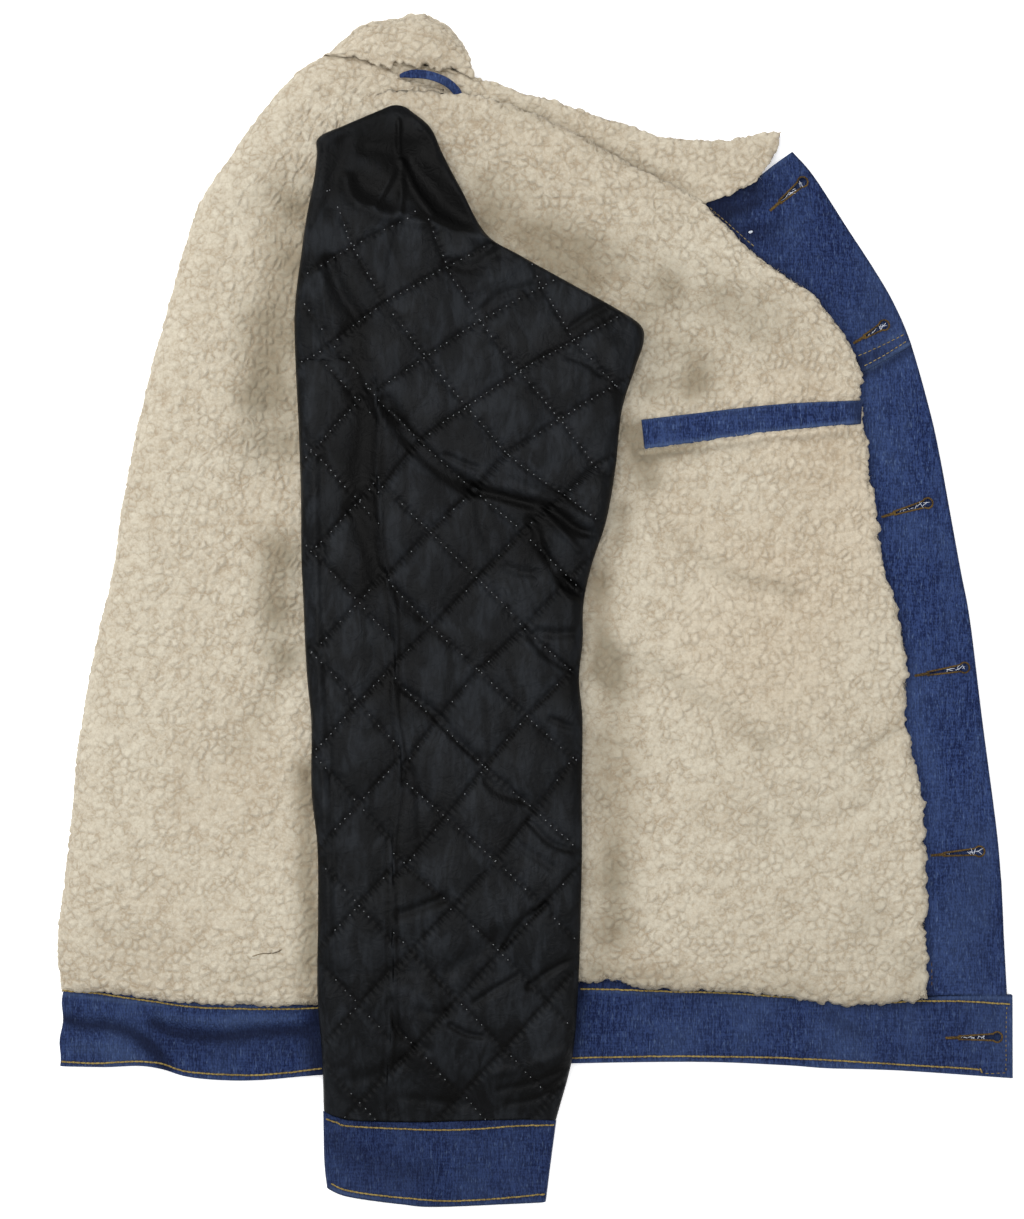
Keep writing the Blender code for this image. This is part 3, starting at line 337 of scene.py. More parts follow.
def clothWall(name, across, along, finer, place, material):
    # a slab of squares, finer on its upper face, laid out by place(u, v, side)
    bm = bmesh.new()
    addSquares(bm, across, along)
    thicken(bm, bm.faces[:], 1)
    if finer > 1:
        upper = [e for e in bm.edges if e.verts[0].co.z > 0.5 and e.verts[1].co.z > 0.5]
        bmesh.ops.subdivide_edges(bm, edges=upper, cuts=finer - 1, use_grid_fill=True)
        bmesh.ops.triangulate(bm, faces=[f for f in bm.faces if len(f.verts) > 4])
    square = placesOf(bm)
    side = np.round(square[:, 2])
    movePoints(bm, place(square[:, 0], square[:, 1], side))
    bmesh.ops.recalc_face_normals(bm, faces=bm.faces)
    return addObject(name, toMesh(bm, name), material), square, side > 0.5


def withHeight(spots, height):
    return np.column_stack([spots, height])


def flatNoise(spots, size, seed):
    return softNoise(withHeight(spots, np.zeros(len(spots))), size, seed)


def unit(vectors):
    return vectors / np.maximum(np.linalg.norm(vectors, axis=1), 1e-6)[:, None]


print("shared lines and noise ready")

# materials

sherpaLook = {
    # crevice, hollow, deep and shadow are colours of painted shade: the lines between tufts, the folds, and
    # the pile beside the sleeve
    "top": (0.587, 0.540, 0.436), "warm": (0.585, 0.514, 0.400), "crevice": (0.29, 0.215, 0.135),
    "hollow": (0.250, 0.222, 0.160), "deep": (0.15, 0.125, 0.085), "shadow": (0.05, 0.045, 0.036),
    "fibre": 620.0, "curl": 360.0, "bump": 0.6,
    "tufts": 195.0,     # tufts to a metre
    "wander": 0.0022,   # how crooked the lines between them are
}
denimLook = {
    # shadow is the colour of painted shade; the wear and highlight share lightens towards light for worn
    # edges and painted highlights
    "dark": (0.0050, 0.0098, 0.041), "mid": (0.0275, 0.0490, 0.142), "light": (0.135, 0.205, 0.36),
    "shadow": (0.004, 0.006, 0.018), "wearAndHighlight": 0.4, "shade": 0.85,
}
# crease is the colour of painted shade in the satin's grooves, puckers, sheen patches and slopes
satinLook = {"color": (0.0122, 0.0140, 0.0168), "crease": (0.0012, 0.0012, 0.0012), "rough": 0.5,
             "gloss": 0.08, "stitch": 4.0}
threadLook = {"ochre": (0.31, 0.228, 0.072), "ochreDark": (0.14, 0.096, 0.028),
              "pale": (0.30, 0.235, 0.11), "paleDark": (0.12, 0.085, 0.035),
              "hole": (0.135, 0.082, 0.020), "holeDark": (0.040, 0.024, 0.009),
              "fray": (0.60, 0.64, 0.72), "frayDark": (0.35, 0.37, 0.42),
              "grey": (0.24, 0.25, 0.26), "greyDark": (0.12, 0.125, 0.13)}


def newGroup(name, inputs, outputs):  # an input is a number, a colour, or None for a vector
    group = bpy.data.node_groups.new(name, "ShaderNodeTree")
    for label, value in inputs.items():
        kind = "Vector" if value is None else "Color" if isinstance(value, tuple) else "Float"
        socket = group.interface.new_socket(label, in_out="INPUT", socket_type="NodeSocket" + kind)
        if value is not None:
            socket.default_value = value
    for label, kind in outputs.items():
        group.interface.new_socket(label, in_out="OUTPUT", socket_type="NodeSocket" + kind)
    return group, group.nodes.new("NodeGroupInput").outputs


def closeGroup(group, *values):
    for value, socket in zip(values, group.nodes.new("NodeGroupOutput").inputs):
        group.links.new(value, socket)
    return group


def setInput(tree, socket, value):
    if isinstance(value, bpy.types.NodeSocket):
        tree.links.new(value, socket)
    else:
        socket.default_value = value


def addNode(tree, kind, settings=None, **values):  # a node with its inputs set or linked
    node = tree.nodes.new(kind)
    for key, value in (settings or {}).items():
        setattr(node, key, value)
    for key, value in values.items():
        byNumber = key[0] == "i" and key[1:].isdigit()
        setInput(tree, node.inputs[int(key[1:]) if byNumber else key.replace("_", " ")], value)
    return node


def mathNode(tree, operation, first, second=0.0):
    return addNode(tree, "ShaderNodeMath", {"operation": operation}, i0=first, i1=second).outputs[0]


def vectorNode(tree, operation, **values):
    return addNode(tree, "ShaderNodeVectorMath", {"operation": operation}, **values).outputs[0]


def plus(tree, first, second):
    return mathNode(tree, "ADD", first, second)


def times(tree, first, second):
    return mathNode(tree, "MULTIPLY", first, second)


def weighted(tree, first, firstShare, second, secondShare):
    return plus(tree, times(tree, first, firstShare), times(tree, second, secondShare))


def mixColor(tree, share, first, second):
    node = addNode(tree, "ShaderNodeMix", {"data_type": "RGBA", "clamp_factor": True}, i0=share)
    for socket, color in ((node.inputs[6], first), (node.inputs[7], second)):
        setInput(tree, socket, color + (1.0,) * (4 - len(color)) if isinstance(color, tuple) else color)
    return node.outputs[2]


def ramp(tree, value, low, high, first=0.0, last=1.0):
    node = addNode(tree, "ShaderNodeMapRange", {"interpolation_type": "SMOOTHSTEP"},
                   i0=value, i1=low, i2=high, i3=first, i4=last)
    return node.outputs[0]


def stretched(tree, vector, scale):
    return addNode(tree, "ShaderNodeMapping", i0=vector, i3=scale).outputs[0]


def noise(tree, vector, scale, detail, rough=0.5, twist=0.0):
    return addNode(tree, "ShaderNodeTexNoise", Vector=vector, Scale=scale, Detail=detail,
                   Roughness=rough, Distortion=twist).outputs[0]


def readNumber(tree, name):  # a number that the mesh keeps for each point
    return addNode(tree, "ShaderNodeAttribute", {"attribute_name": name}).outputs["Fac"]


def makeFibreGroup():  # fine curls and fibres of the pile, and its uneven tone
    group, given = newGroup("pile fibres", {"Vector": None, "Fibre": 950.0, "Curl": 420.0},
                            {"Height": "Float", "Tone": "Float"})
    fibre = noise(group, given[0], given[1], 3.0, 0.6, 0.8)
    curl = addNode(group, "ShaderNodeTexVoronoi", {"feature": "SMOOTH_F1"}, Vector=given[0],
                   Scale=given[2], Smoothness=0.6).outputs[0]
    broad = noise(group, given[0], 16.0, 3.0)
    height = mathNode(group, "SUBTRACT", fibre, times(group, curl, 0.9))
    return closeGroup(group, height, weighted(group, fibre, 0.7, broad, 0.3))


def tuftNodes(tree, place):  # the tufts of the pile, the same on the mesh and in its material
    wander = addNode(tree, "ShaderNodeTexNoise", Vector=place, Scale=sherpaLook["tufts"] * 0.5,
                     Detail=3.0, Roughness=0.55).outputs["Color"]
    shift = vectorNode(tree, "SUBTRACT", i0=wander, i1=(0.5, 0.5, 0.5))
    shift = vectorNode(tree, "SCALE", i0=shift, i3=2 * sherpaLook["wander"])
    moved = vectorNode(tree, "ADD", i0=place, i1=shift)
    edge, home = (addNode(tree, "ShaderNodeTexVoronoi", {"feature": feature}, Vector=moved,
                          Scale=sherpaLook["tufts"], Randomness=0.88).outputs[name]
                  for feature, name in (("DISTANCE_TO_EDGE", "Distance"), ("F1", "Color")))
    return edge, home, noise(tree, place, 130.0, 3.0, 0.6)


def makeTuftGroup():
    group, given = newGroup("pile tufts", {"Vector": None},
                            {"Edge": "Float", "Home": "Color", "Parted": "Float"})
    return closeGroup(group, *tuftNodes(group, given[0]))


def makeTuftReader():  # gives the points of a mesh the numbers of the tufts that they are in
    group = bpy.data.node_groups.new("tuft reader", "GeometryNodeTree")
    for way in ("INPUT", "OUTPUT"):
        group.interface.new_socket("Geometry", in_out=way, socket_type="NodeSocketGeometry")
    shape = group.nodes.new("NodeGroupInput").outputs[0]
    place = group.nodes.new("GeometryNodeInputPosition").outputs[0]
    for name, value in zip(("edge", "home", "parted"), tuftNodes(group, place)):
        shape = addNode(group, "GeometryNodeStoreNamedAttribute", {"data_type": "FLOAT", "domain": "POINT"},
                        Geometry=shape, Name=name, Value=value).outputs[0]
    return closeGroup(group, shape)


def makeTwillGroup():  # indigo yarns: slubs along Y, a fine diagonal, flecks and soft fading
    group, given = newGroup(
        "indigo twill", {"Vector": None, "Dark": (0.01, 0.02, 0.06, 1), "Mid": (0.03, 0.05, 0.12, 1),
                         "Light": (0.12, 0.16, 0.28, 1)}, {"Color": "Color", "Height": "Float"})
    place, dark, mid, light = given[:4]
    slub, yarn, weft, fade, fleck = (
        noise(group, stretched(group, place, scale), 1.0, detail, rough) for scale, detail, rough in (
            ((1000, 95, 1000), 2.0, 0.65), ((1400, 640, 1400), 1.0, 0.5), ((130, 950, 950), 1.0, 0.5),
            ((30, 15, 30), 4.0, 0.6), ((1350, 230, 1350), 1.0, 0.5)))
    diagonal = addNode(group, "ShaderNodeTexWave", {"bands_direction": "DIAGONAL"},
                       Vector=stretched(group, place, (1, 0.55, 0.2)), Scale=330.0, Distortion=1.2,
                       Detail=1.0).outputs[0]
    mixed = plus(group, times(group, slub, 0.45), weighted(group, yarn, 0.35, weft, 0.2))
    color = mixColor(group, ramp(group, mixed, 0.41, 0.59), dark, mid)
    color = mixColor(group, times(group, ramp(group, fade, 0.35, 0.72), 0.34), color,
                     mixColor(group, 0.3, mid, light))
    color = mixColor(group, times(group, ramp(group, fleck, 0.58, 0.78), 0.4), color, light)
    color = mixColor(group, times(group, diagonal, 0.22), color, mixColor(group, 0.5, dark, mid))
    return closeGroup(group, color, weighted(group, yarn, 0.6, diagonal, 0.4))


def makeTwistGroup():  # plies of a sewing thread
    group, given = newGroup("thread twist", {"Vector": None, "Light": (0.3, 0.15, 0.03, 1),
                                             "Dark": (0.1, 0.05, 0.01, 1)}, {"Color": "Color"})
    ply, tone = noise(group, given[0], 1400.0, 1.0), noise(group, given[0], 90.0, 2.0)
    share = ramp(group, weighted(group, ply, 0.6, tone, 0.4), 0.38, 0.62)
    return closeGroup(group, mixColor(group, share, given[2], given[1]))


def makePuckerGroup():  # short bars where each stitch draws the cloth in, on either side of a row
    group, given = newGroup("stitch puckers", {"Along": 0.0, "Away": 0.0, "Pitch": 4.0, "Reach": 3.0},
                            {"Height": "Float"})
    turns = times(group, mathNode(group, "DIVIDE", given[0], given[2]), 2 * math.pi)
    near = mathNode(group, "DIVIDE", given[1], given[3])
    fall = mathNode(group, "POWER", 2.718, times(group, times(group, near, near), -1.0))
    return closeGroup(group, times(group, mathNode(group, "COSINE", turns), fall))


fibreGroup, twillGroup, twistGroup = makeFibreGroup(), makeTwillGroup(), makeTwistGroup()
tuftGroup, tuftReader, puckerGroup = makeTuftGroup(), makeTuftReader(), makePuckerGroup()


def newMaterial(name):
    material = bpy.data.materials.new(name)
    material.use_nodes = True
    tree = material.node_tree
    place = addNode(tree, "ShaderNodeTexCoord").outputs["Object"]
    return material, tree, place


def placeGroup(tree, group, **values):
    return addNode(tree, "ShaderNodeGroup", {"node_tree": group}, **values)


def finishMaterial(material, settings, height=None, strength=0.0, depth=0.0):
    tree = material.node_tree
    shader = tree.nodes["Principled BSDF"]
    if height is not None:
        bump = addNode(tree, "ShaderNodeBump", Strength=strength, Distance=depth, Height=height)
        tree.links.new(bump.outputs[0], shader.inputs["Normal"])
    for name, value in settings.items():
        setInput(tree, shader.inputs[name], value)
    return material


def makeSherpa():
    material, tree, _ = newMaterial("sherpa pile")
    look = sherpaLook
    rest = addNode(tree, "ShaderNodeAttribute", {"attribute_name": "rest"}).outputs["Vector"]
    crevice, hollow, warm = (readNumber(tree, name) for name in ("crevice", "hollow", "warm"))
    fibres = placeGroup(tree, fibreGroup, Vector=rest, Fibre=look["fibre"], Curl=look["curl"]).outputs
    edge, home, parting = placeGroup(tree, tuftGroup, Vector=rest).outputs[:3]
    # painted shade: crevice darkens the lines between the tufts and the rims of the tufts
    strength = times(tree, crevice, ramp(tree, parting, 0.36, 0.62, 0.22, 1.0))
    frayed = plus(tree, edge, times(tree, mathNode(tree, "SUBTRACT", fibres["Tone"], 0.5), 0.5))
    parted = times(tree, ramp(tree, frayed, -0.04, 0.17, 0.6, 0.0), strength)
    top = mixColor(tree, warm, look["top"], look["warm"])
    # painted shade in the pile's folds, and a painted shadow on the pile beside the sleeve
    top = mixColor(tree, hollow, top, look["hollow"])
    top = mixColor(tree, ramp(tree, hollow, 0.92, 1.0, 0.0, 0.85), top, look["shadow"])
    # random tone of the fibres and of each tuft, then painted shade round the rim of each tuft
    for share in (times(tree, ramp(tree, fibres["Tone"], 0.36, 0.62, 1, 0), 0.32), times(tree, home, 0.13),
                  times(tree, ramp(tree, edge, 0.0, 0.4, 0.24, 0.0), strength)):
        top = mixColor(tree, share, top, look["crevice"])
    # the lines between tufts are painted darker still where the pile lies in shade
    deep = mixColor(tree, times(tree, hollow, 0.7), look["crevice"], look["deep"])
    tufted = times(tree, ramp(tree, frayed, 0.0, 0.34), plus(tree, strength, 0.35))
    return finishMaterial(
        material, {"Base Color": mixColor(tree, parted, top, deep), "Roughness": 0.95,
                   "Specular IOR Level": 0.1, "Sheen Weight": 0.1, "Sheen Roughness": 0.5},
        plus(tree, times(tree, fibres["Height"], 0.55), tufted), look["bump"], 0.0008)


def makeDenim():
    material, tree, place = newMaterial("washed denim")
    look = denimLook
    twill = placeGroup(tree, twillGroup, Vector=place, Dark=look["dark"] + (1.0,),
                       Mid=look["mid"] + (1.0,), Light=look["light"] + (1.0,)).outputs
    # painted shade towards shadow; worn edges and painted highlights towards light
    wearAndHighlight, shade = (times(tree, readNumber(tree, name), look[name]) for name in ("wearAndHighlight", "shade"))
    color = mixColor(tree, shade, mixColor(tree, wearAndHighlight, twill["Color"], look["light"]), look["shadow"])
    return finishMaterial(material, {"Base Color": color, "Roughness": 0.88, "Specular IOR Level": 0.1},
                          twill["Height"], 0.5, 0.00035)


def makeSatin():
    material, tree, place = newMaterial("quilted satin")
    look = satinLook
    weave = noise(tree, stretched(tree, place, (1500, 60, 1500)), 1.0, 2.0)
    broad = noise(tree, place, 34.0, 3.0)
    crinkle = noise(tree, place, 150.0, 3.0, 0.5, 1.5)
    # painted sheen: soft patches and streaks that darken the satin towards the crease colour
    sheen = noise(tree, stretched(tree, place, (85, 34, 85)), 1.0, 4.0, 0.55, 0.8)
    streak = noise(tree, stretched(tree, place, (420, 110, 420)), 1.0, 2.0)
    bars = [placeGroup(tree, puckerGroup, Along=readNumber(tree, "along" + way),
                       Away=readNumber(tree, "away" + way), Pitch=look["stitch"], Reach=reach).outputs[0]
            for way, reach in (("Up", 2.4), ("Down", 3.0))]
    # painted shade: the mesh's crease number, the sheen patches, the streaks and the puckers beside the
    # stitches all darken towards the crease colour
    color = mixColor(tree, readNumber(tree, "crease"), look["color"], look["crease"])
    for tone, low, high, most in ((sheen, 0.38, 0.6, 0.68), (streak, 0.4, 0.62, 0.3),
                                  (bars[0], 0.1, 0.9, 0.3), (bars[1], 0.1, 0.9, 0.5)):
        color = mixColor(tree, times(tree, ramp(tree, tone, low, high), most), color, look["crease"])
    rough = ramp(tree, broad, 0.3, 0.7, look["rough"] - 0.05, look["rough"] + 0.07)
    height = plus(tree, weighted(tree, weave, 0.1, crinkle, 0.9),
                  weighted(tree, bars[0], 0.3, bars[1], 0.4))
    return finishMaterial(material, {"Base Color": color, "Roughness": rough,
                                     "Specular IOR Level": look["gloss"]}, height, 0.8, 0.0009)


def makeThread(name, tone):
    material, tree, place = newMaterial(name)
    twist = placeGroup(tree, twistGroup, Vector=place, Light=threadLook[tone] + (1.0,),
                       Dark=threadLook[tone + "Dark"] + (1.0,))
    return finishMaterial(material, {"Base Color": twist.outputs[0], "Roughness": 0.6,
                                     "Specular IOR Level": 0.15})


sherpaCloth, denimCloth, satinCloth = makeSherpa(), makeDenim(), makeSatin()
ochreThread = makeThread("topstitch thread", "ochre")
paleThread = makeThread("pale topstitch thread", "pale")
brownThread = makeThread("buttonhole thread", "hole")
frayThread = makeThread("frayed cotton", "fray")
quiltThread = makeThread("quilting thread", "grey")
print("materials ready")

# sherpa

pileLook = {
    "depth": 1.3,       # how far the crevices go down
    "uneven": 0.8,      # how unlike in height the tufts are
    "proud": 0.5,       # the tufts stand this much over the plain wall
    "grain": 0.25,      # small unevenness of the curls
    "swell": 0.5,       # broad unevenness of the pile
    "lip": 4.5,         # how far in from an edge the pile bulges over it
}
hollows = [  # where the pile lies in shade and looks greyer
    (((-146, 244), (-145, 216), (-149, 168), (-153, 126), (-153, 104)), 19, 0.84),
    (((-166, 172), (-167, 106)), 14, 0.55),
    (((-153, 34), (-152, 10), (-150, -16)), 15, 0.97),
    (((-176, -82), (-160, -52), (-148, -30)), 8, 0.3),
    (((-255, -195), (-219, -201)), 9, 0.12),
    (((-171, -219), (-141, -213)), 11, 0.3),
    (((-30, 254), (-18, 243), (-3, 231), (21, 214)), 16, 0.74),
    (((5, 222), (39, 209), (69, 198), (99, 187), (141, 171)), 17, 0.6),
    (((62, 184), (68, 160), (80, 142), (92, 136)), 13, 0.42),
    (((62, 100), (90, 104), (120, 108)), 7, 0.45),
    (((66, 66), (87, 42), (111, 24), (153, 12)), 6.5, 0.26),
    (((45, -24), (75, -36), (105, -57), (135, -78)), 7, 0.26),
    (((38, 26), (39, -10), (42, -36)), 9, 0.85),
    (((45, -42), (46, -114), (46, -192)), 15, 0.75),
    (((38, -214), (60, -218), (84, -220)), 8, 0.4),
    (((66, 88), (70, 78)), 9, 0.5),
    (((52, 60), (49, 44)), 8, 0.6),
    (((192, -84), (216, -69)), 5, 0.25),
    (((135, -129), (195, -114)), 8, 0.14),
    (((201, -186), (225, -210)), 14, 0.25),
    (((-21, 303), (15, 291), (51, 271), (93, 252)), 5, 0.35),
    (((-88, 352), (-62, 347), (-50, 340)), 13, 0.22),
    (((-28, 233), (2, 213), (36, 193)), 10, 0.62),
    (((84, 158), (106, 148)), 11, 0.45),
    (((60, 140), (78, 132), (98, 136)), 11, 0.5),
    (((56, 107), (68, 97), (92, 99)), 9, 0.85),
    (((56, 84), (66, 77)), 9, 0.5),
    (((-137, -96), (-136, -160), (-135, -234)), 7.5, 0.97),
    (((150, -90), (160, -215)), 70, 0.1),
    (outline["hemFront"][1:], 10, 0.3),
    (((-60, 310), (0, 285), (70, 250), (120, 268)), 26, 0.12),
]
# a painted shadow on the pile beside the sleeve's left side
besideSleeve = [([(-132.5, -90), (-132, -160), (-130.5, -236)], 5.5, 1.0)]
creviceShadeSpots = [  # where the lines between the tufts get more painted shade
    (outline["hemFront"], 16, 0.1),
    (outline["hemBack"][1:], 16, 0.1),
    ([(-30, 262), (35, 205), (110, 170)], 30, 0.3),
    ([(-165, 120), (-165, -20)], 26, 0.25),
    ([(60, -60), (56, -190)], 20, 0.25),
]
warmSpots = [
    ([(160, 110), (190, 60), (170, 20)], 40, 0.8),
    ([(80, 60), (130, 30)], 24, 0.4),
    ([(110, -20), (150, -40)], 38, 0.7),
    ([(-100, 345), (-60, 335)], 40, 0.4),
    ([(0, 290), (80, 262), (140, 270)], 30, 0.4),
]
pileFolds = [  # smaller folds of the pile alone
    ([(60, 78), (87, 50), (111, 31), (153, 19)], 8, 1.3),
    ([(66, 63), (87, 38), (111, 19), (153, 6)], 7, -1.5),
    ([(45, -14), (75, -26), (105, -46), (135, -66)], 8, 1.1),
    ([(45, -30), (75, -42), (105, -63), (138, -86)], 7, -1.4),
    ([(52, -42), (50, -114), (48, -192)], 10, -2.2),
    ([(186, -92), (214, -76)], 5, -1.3),
    ([(130, -135), (195, -120)], 7, -1.0),
    ([(-190, -98), (-170, -66), (-150, -42)], 7, -1.3),
    ([(-262, -190), (-219, -199)], 8, -1.0),
    ([(-158, 165), (-162, 120), (-158, 84)], 11, -2.0),
    ([(-30, 282), (20, 262), (70, 235)], 9, 1.2),
    ([(62, 93.5), (99, 98), (129, 102.6), (158, 105.6), (184, 108.2)], 3.2, 4.2),
    ([(64, 119), (93, 123), (144, 128.5), (192, 130.5)], 4.5, 1.2),
]


def fluffOut(plan, u, v, side, amounts):  # the top of a pile bulges over its edges, unevenly
    spot = plan(u, v)
    moved = spot.copy()
    for name, amount in amounts.items():
        full, short = (np.ones_like(u), 0.97) if name in ("right", "top") else (np.zeros_like(u), 0.03)
        if name in ("right", "left"):
            rim, near = plan(full, v), plan(np.full_like(u, short), v)
        else:
            rim, near = plan(u, full), plan(u, np.full_like(v, short))
        away = np.linalg.norm(rim - spot, axis=1)
        uneven = (0.9 + 0.75 * flatNoise(rim, 5.5, 71) + 0.5 * flatNoise(rim, 2.4, 72)
                  + 0.4 * flatNoise(rim, 14, 73))
        moved += unit(rim - near) * (amount * uneven * np.exp(-away / pileLook["lip"]) * side)[:, None]
    return moved


def readTufts(thing):  # for each point: how near a crevice it is, its tuft's number, how deep they part
    reader = thing.modifiers.new("tufts", "NODES")
    reader.node_group = tuftReader
    bpy.context.view_layer.update()
    done = thing.evaluated_get(bpy.context.evaluated_depsgraph_get()).data
    numbers = []
    for name in ("edge", "home", "parted"):
        values = np.empty(len(done.vertices), np.float32)
        done.attributes[name].data.foreach_get("value", values)
        numbers.append(values.astype(float))
    thing.modifiers.clear()
    return numbers


def raisePile(thing, upper, seed, strength=None):
    mesh = thing.data
    keepPlaces(mesh, "rest")
    edge, home, parted = readTufts(thing)
    points, normals = readPoints(mesh), readNormals(mesh)
    spots = points / mm
    parted = 0.4 + 0.6 * ease((parted - 0.36) / 0.26)
    dome = 1 - (1 - np.clip(edge / 0.3, 0, 1)) ** 2
    lift = (pileLook["depth"] * (dome - 1) * parted + pileLook["uneven"] * (home - 0.5) * dome
            + pileLook["proud"] + pileLook["grain"] * softNoise(spots, 3.1, seed) * dome
            + pileLook["swell"] * softNoise(spots, 21, seed + 5)
            + foldHeight(pileFolds, spots[:, :2]) * (1 + 0.5 * softNoise(spots, 5.5, seed + 7))) * upper
    if strength is not None:
        lift *= strength
    points += normals * lift[:, None] * mm
    points[:, 2] = np.maximum(points[:, 2], 0.0)
    writePoints(mesh, points)
    # painted shade for the material: hollow darkens the folds and the pile beside the sleeve, crevice the
    # lines between the tufts
    hollow = foldHeight(hollows, spots[:, :2]) * (0.85 + 0.45 * softNoise(spots, 16, seed + 6))
    keepNumber(mesh, "crevice", np.clip(0.8 + foldHeight(creviceShadeSpots, spots[:, :2]), 0, 1) * upper)
    hollow = np.clip(hollow, 0, 0.92) + 0.08 * foldHeight(besideSleeve, spots[:, :2])
    keepNumber(mesh, "hollow", np.clip(hollow, 0, 1))
    keepNumber(mesh, "warm", np.clip(foldHeight(warmSpots, spots[:, :2]), 0, 1))


def makeLiningBack():
    seam = [(x - cloth["seamGap"], y) for x, y in outline["side"][1:-1]]
    corner = (outline["hemBack"][-1][0] - cloth["seamGap"], outline["hemBack"][-1][1])
    right = smoothLine(outline["neckReturn"] + seam + [corner])
    top = smoothLine([outline["fold"][0]] + [(x, y - 2 * cloth["seamGap"])
                                             for x, y in outline["neck"][:4]]
                     + [outline["neckReturn"][0]])
    bottom = smoothLine(outline["hemBack"][:-1] + [corner])
    plan = patch(edgeOf(top), edgeOf(bottom), edgeOf(foldLine, 1, 0), edgeOf(right, 1, 0))
    foldPart = 0.15  # share of the columns that go round the fold

    def place(u, v, side):
        start, end = plan(np.zeros_like(u), v), plan(np.ones_like(u), v)
        width = np.linalg.norm(end - start, axis=1)
        thick = pileThickness(np.minimum(1 - v, v) * foldLength, lie["rimReach"])
        flat = np.clip((u - foldPart) / (1 - foldPart), 0, 1)
        level = plan((lie["foldRound"] + (width - lie["foldRound"]) * flat) / width, v)
        edge = plan(lie["foldRound"] / width, v)
        topHeight = neckHeight(edge) + cloth["layGap"] + thick * side
        angle = np.radians(-90 + 180 * np.clip(u / foldPart, 0, 1))
        belly = np.minimum(lie["foldBelly"], 0.4 * topHeight)
        inset = (1 - side) * thick
        low = angle <= 0
        offset = np.where(low, inset + lie["foldTuck"] * np.sin(angle) ** 2,
                          inset + (lie["foldRound"] - inset) * (1 - np.cos(angle)))
        turned = np.where(low, belly * (1 + np.sin(angle)),
                          belly + (topHeight - belly) * np.sin(angle))
        height = np.where(u > foldPart, neckHeight(level) + cloth["layGap"] + thick * side, turned)
        spot = np.where((u > foldPart)[:, None], level, plan(offset / width, v))
        bulge = fluffOut(plan, u, v, side, {"bottom": 0.8, "top": 1.6, "right": 1.2}) - plan(u, v)
        return withHeight(spot + bulge * np.clip(u / foldPart, 0, 1)[:, None], height)

    thing, square, upper = clothWall("lining_back_sherpa", 37, 88, 5, place, sherpaCloth)
    strength = np.clip(square[:, 0] / 0.03, 0, 1) * np.clip(1.25 - square[:, 0] * 0.3, 0, 1)
    raisePile(thing, upper, 3, strength)
    return thing


sleeveRightEdge = smoothLine([(-74, 299.8), (-62.5, 288.5), (-55.5, 271), (-43.5, 252), (-29, 223),
                              (-8, 211), (22, 194.5), (50, 179), (65, 165.5), (61.5, 148),
                              (51, 121), (48, 86), (43.5, 52), (33, 24), (27.3, -18), (28, -66),
                              (28.5, -170), (26.3, -228), (22, -268)])


def makeLiningFront():
    corner = (outline["hemFront"][0][0] + cloth["seamGap"], outline["hemFront"][0][1])
    left = smoothLine([outline["roll"][0]] + outline["side"][1:-1] + [corner])
    bottom = smoothLine([corner] + outline["hemFront"][1:])
    plan = patch(edgeOf(rollLine), edgeOf(bottom), edgeOf(left, 1, 0), edgeOf(lapelLine, 1, 0))
    coarse = 0.07  # share of the columns that lie under the sleeve

    def place(u, v, side):
        start, end = plan(np.zeros_like(u), v), plan(np.ones_like(u), v)
        under = crossing(sleeveRightEdge, start[:, 1], 1) - 14
        under = np.clip((under - start[:, 0]) / (end[:, 0] - start[:, 0]), 0.02, 0.9)
        u = np.where(u < coarse, under * u / coarse, under + (1 - under) * (u - coarse) / (1 - coarse))
        spot = plan(u, v)
        toLapel = np.linalg.norm(end - spot, axis=1)
        toHem = np.linalg.norm(plan(u, np.zeros_like(v)) - spot, axis=1)
        toRoll = np.linalg.norm(plan(u, np.ones_like(v)) - spot, axis=1)
        thick = np.minimum(pileThickness(np.minimum(toLapel, toHem), lie["rimReach"]),
                           pileThickness(toRoll, lie["rollRound"]))
        moved = fluffOut(plan, u, v, side, {"right": 1.9, "bottom": 1.5, "top": 1.5, "left": 1.2})
        hanging = np.exp(-((moved[:, 0] - 170) / 34) ** 2) * np.exp(-toHem / 7)
        moved = moved - np.column_stack([0 * hanging, 3.4 * hanging * side])
        return withHeight(moved, rollHeight(spot) + thick * side)

    thing, _, upper = clothWall("lining_front_sherpa", 41, 86, 5, place, sherpaCloth)
    raisePile(thing, upper, 7)
    return thing


collarLook = {  # heights
    "under": 7.6,       # what the near half lies on
    "drop": 2.6,        # how much lower that is at the tip
    "lap": 6.5,         # how far the pile stands up over the neck seam near the tip
    "farLow": 5.5,      # the far half at its edges
    "farArch": 17.0,    # how much higher its middle stands
}


def collarHeight(u):
    return collarLook["under"] - collarLook["drop"] * ease((u - 0.45) / 0.5)


